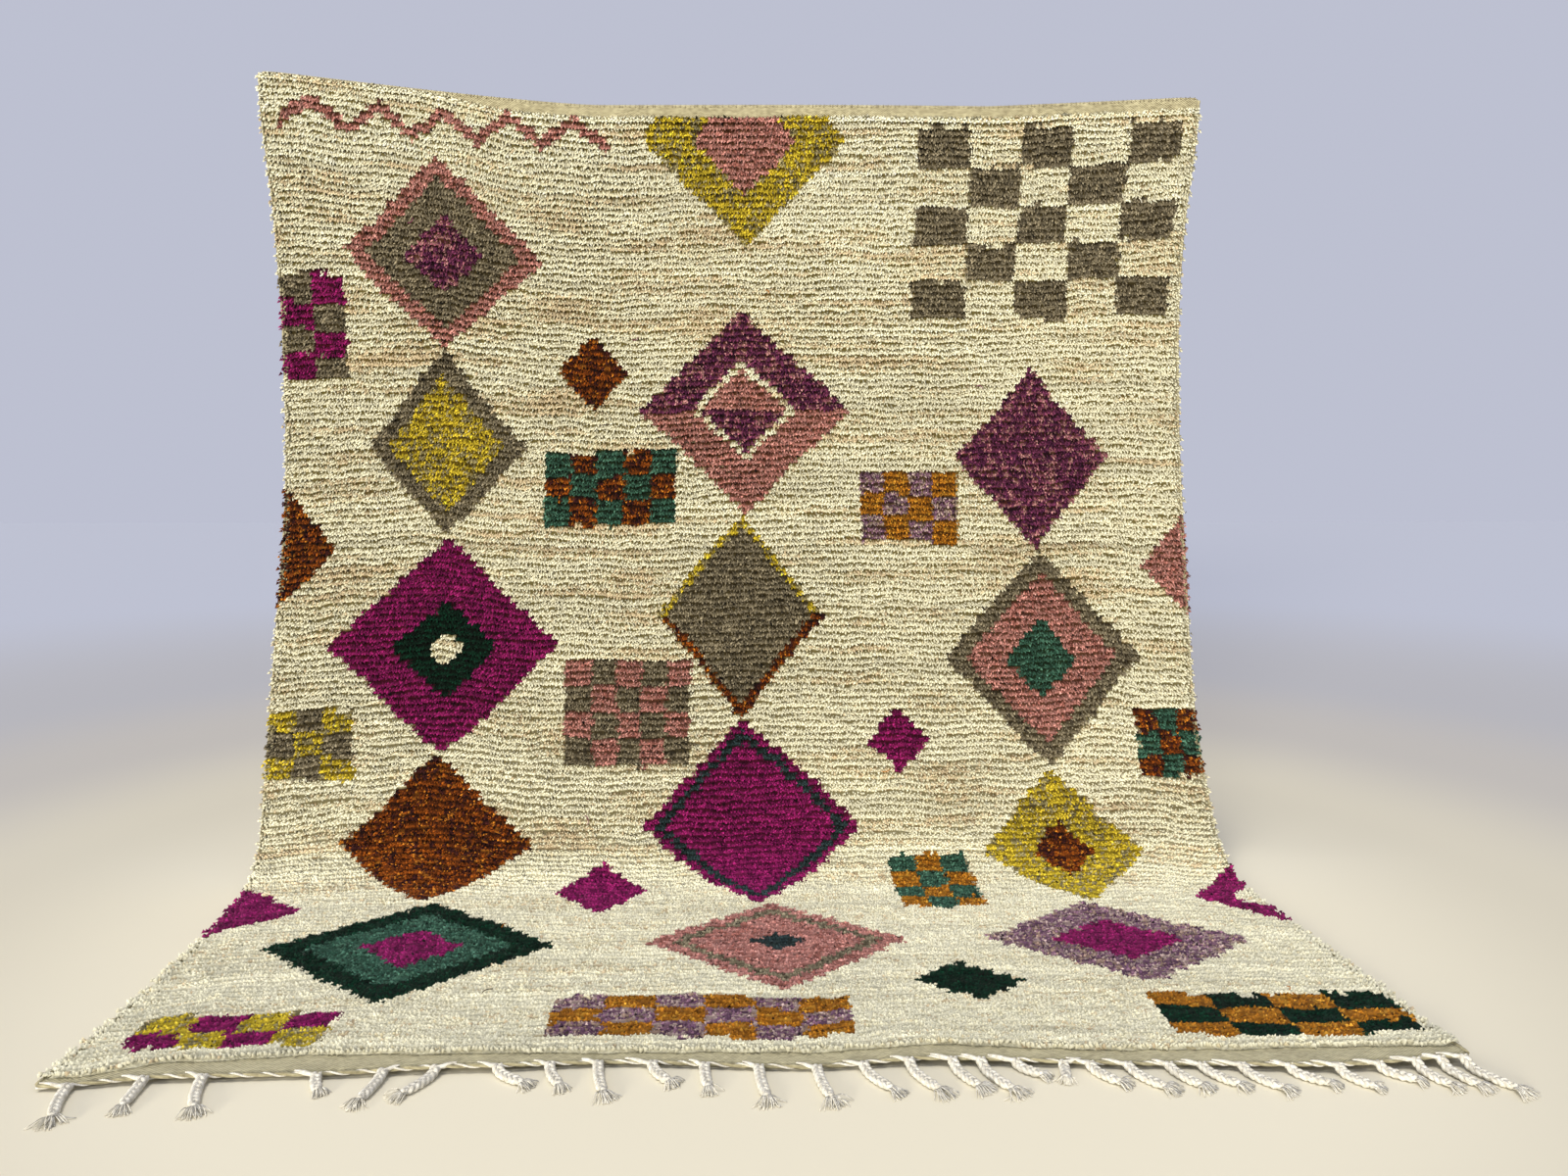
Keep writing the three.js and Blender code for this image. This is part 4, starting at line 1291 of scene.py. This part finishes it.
def edge_stitch(across):
    """A stitch that wraps the top edge from front to back, and leans as it does."""
    lean = STITCH_LEAN * chance.normal(LEAN_MIDDLE, LEAN_LOOSE)
    low = RUG_LENGTH - STITCH_REACH - chance.uniform(-REACH_OFF, REACH_OFF) * MM
    front = place(across, low, WEAVE_DEPTH + OVER_FRONT)
    back = place(across + lean, low, KNOT_BACK - OVER_BACK)
    top = place(across + lean / 2, RUG_LENGTH, (WEAVE_DEPTH + KNOT_BACK) / 2) + np.array([0, 0, OVER_EDGE])
    path = [front, mix(front, top, ROUNDED), top, mix(back, top, ROUNDED), back]
    return swept(path, STITCH_RADIUS, sides=4)


stitch_places = np.arange(STITCH_FROM, STITCH_TO, STITCH_PITCH)
stitch_places = stitch_places + chance.normal(0, STITCH_OFF, len(stitch_places))
stitch_yarns = [edge_stitch(across) for across in stitch_places]
stitches = yarn_piece("edge_stitches", stitch_yarns, PILE_WOOL, [STITCH_DYE] * len(stitch_yarns))

# %% Stray ends
SELVEDGE_END = "#43372c"
OFFCUTS = ["#43372c", "#e9e4d2", "#a5661f", "#6b2a4c"] * 4
STRAY_RADIUS, STRAY_STEPS, STRAY_CURL, STRAY_ARCH = 0.8 * MM, 8, 2.5, 1.5 * MM
OFFCUT_ASIDE, OFFCUT_MARGIN, OFFCUT_HEIGHT = 900, 120 * MM, 15.5 * MM
OFFCUT_LENGTHS, END_GAPS = (12, 26), (45, 130)  # millimetres
ENDS_A_SIDE, END_MARGIN, END_INSIDE, END_HEIGHT, END_LENGTH = 20, 50 * MM, 1 * MM, 4 * MM, 8 * MM


def stray_end(across, along, height, length):
    """A short curled piece of yarn."""
    t = np.linspace(0, 1, STRAY_STEPS + 1)
    heading = chance.uniform(0, math.tau) + chance.uniform(-STRAY_CURL, STRAY_CURL) * t
    across = across + length / STRAY_STEPS * np.cumsum(np.cos(heading))
    along = along + length / STRAY_STEPS * np.cumsum(np.sin(heading))
    arch = height + STRAY_ARCH * np.sin(math.pi * t)
    return swept(place(across, along, arch), STRAY_RADIUS, sides=5)


strays = []
for _ in OFFCUTS:
    across = chance.uniform(-OFFCUT_ASIDE, OFFCUT_ASIDE) * MM
    along = chance.uniform(OFFCUT_MARGIN, RUG_LENGTH - OFFCUT_MARGIN)
    strays.append(stray_end(across, along, OFFCUT_HEIGHT, chance.uniform(*OFFCUT_LENGTHS) * MM))
for side in (-1, 1):
    for along in np.cumsum(chance.uniform(*END_GAPS, ENDS_A_SIDE)) * MM:
        along = min(along, RUG_LENGTH - END_MARGIN)
        strays.append(stray_end(side * (HALF_WIDTH - END_INSIDE), along, END_HEIGHT, END_LENGTH))
stray_dyes = OFFCUTS + [SELVEDGE_END] * (2 * ENDS_A_SIDE)
stray_yarns = yarn_piece("stray_yarns", strays, PILE_WOOL, stray_dyes)

# %% [markdown]
# The studio
# The floor is plain, pale and warm near the rug. Farther away it is painted a little darker and bluish, as a
# painted falloff of light, and fades into the background. Daylight comes from behind the camera and from the
# left, nearly level, which lights the hanging part from the front and leaves its lines dark. A weaker light
# falls from above onto the part that lies. Both are so far away that they light every side of the floor
# alike, where a lamp near by would leave a pool of light.

# %% The floor and the background
# Painted falloff of light: away from the rug the floor colour turns darker and bluer.
FLOOR_COLOURS_AND_PAINTED_FALLOFF = [  # metres from the rug's middle
    (0.9, "#e1dbc6"), (1.6, "#cbc5b2"), (2.3, "#b6b2ab"), (3.2, "#acacaf"), (6.0, "#b3b7c3"),
]
FLOOR_SIZE, FLOOR_DROP = 14.0, 0.2 * MM
SKY, SKY_STRENGTH = "#e7ebff", 0.638


def studio_floor():
    made, tree, shader = material("plain_pale_floor", roughness=0.6, sheen=0.0)
    where = add(tree, "ShaderNodeTexCoord").outputs["Object"]
    far = add(tree, "ShaderNodeVectorMath", {0: where}, operation="LENGTH").outputs["Value"]
    furthest = FLOOR_COLOURS_AND_PAINTED_FALLOFF[-1][0]
    share = add(tree, "ShaderNodeMath", {0: far, 1: furthest}, operation="DIVIDE").outputs[0]
    ramp = add(tree, "ShaderNodeValToRGB", {"Fac": share})
    ramp.color_ramp.interpolation = "EASE"
    stops = ramp.color_ramp.elements
    stops.remove(stops[1])
    for away, colour in FLOOR_COLOURS_AND_PAINTED_FALLOFF:
        stops.new(away / furthest).color = linear(colour)
    stops.remove(stops[0])
    tree.links.new(ramp.outputs["Color"], shader.inputs["Base Color"])
    return made


floor_corners = [(x * FLOOR_SIZE, y * FLOOR_SIZE, 0) for x, y in ((-1, -1), (1, -1), (1, 1), (-1, 1))]
floor = new_piece("floor", floor_corners, [(0, 1, 2, 3)], studio_floor())
floor.location.z = -FLOOR_DROP
world = bpy.data.worlds.new("studio")
bpy.context.scene.world = world
world.use_nodes = True
background = world.node_tree.nodes["Background"]
background.inputs["Color"].default_value = linear(SKY)
background.inputs["Strength"].default_value = SKY_STRENGTH
print("floor and background are in place")


# %% The lights
def far_light(name, source, strength, wide, colour):
    """A light so far away that it falls evenly, from the direction of its source, wide degrees across."""
    data = bpy.data.lights.new(name, "SUN")
    data.energy, data.angle, data.color = strength, math.radians(wide), linear(colour)[:3]
    light = bpy.data.objects.new(name, data)
    light.rotation_euler = Vector(source).to_track_quat("Z", "Y").to_euler()
    bpy.context.scene.collection.objects.link(light)


far_light("window", source=(-0.4, -0.9, 0.08), strength=5.3, wide=20.0, colour="#fdf6e6")
far_light("ceiling", source=(-0.25, -0.08, 0.95), strength=1.6, wide=22.0, colour="#fffaf0")
bpy.context.scene.view_settings.view_transform = "Standard"
print("two lights")

# %% [markdown]
# Handing over
# Every piece rides on the one body. The cloth, pile, selvedges and stitches stand for the solid rug, and
# the cord and plaits for the solid fringe. The ground cloth is the sheet that was woven, and all the others
# are on it.

# %% The body and the replaced nodes
rug_pieces = [ground_cloth, bed, *pile, knot_back_piece, selvedges, stitches, stray_yarns]
fringe_pieces = [hem_cord, hem_cord_wool, plaits]
for node, pieces in (("rug_body", rug_pieces), ("hem_fringe", fringe_pieces)):
    for piece in pieces:
        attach(piece, "root")
        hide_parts(node)
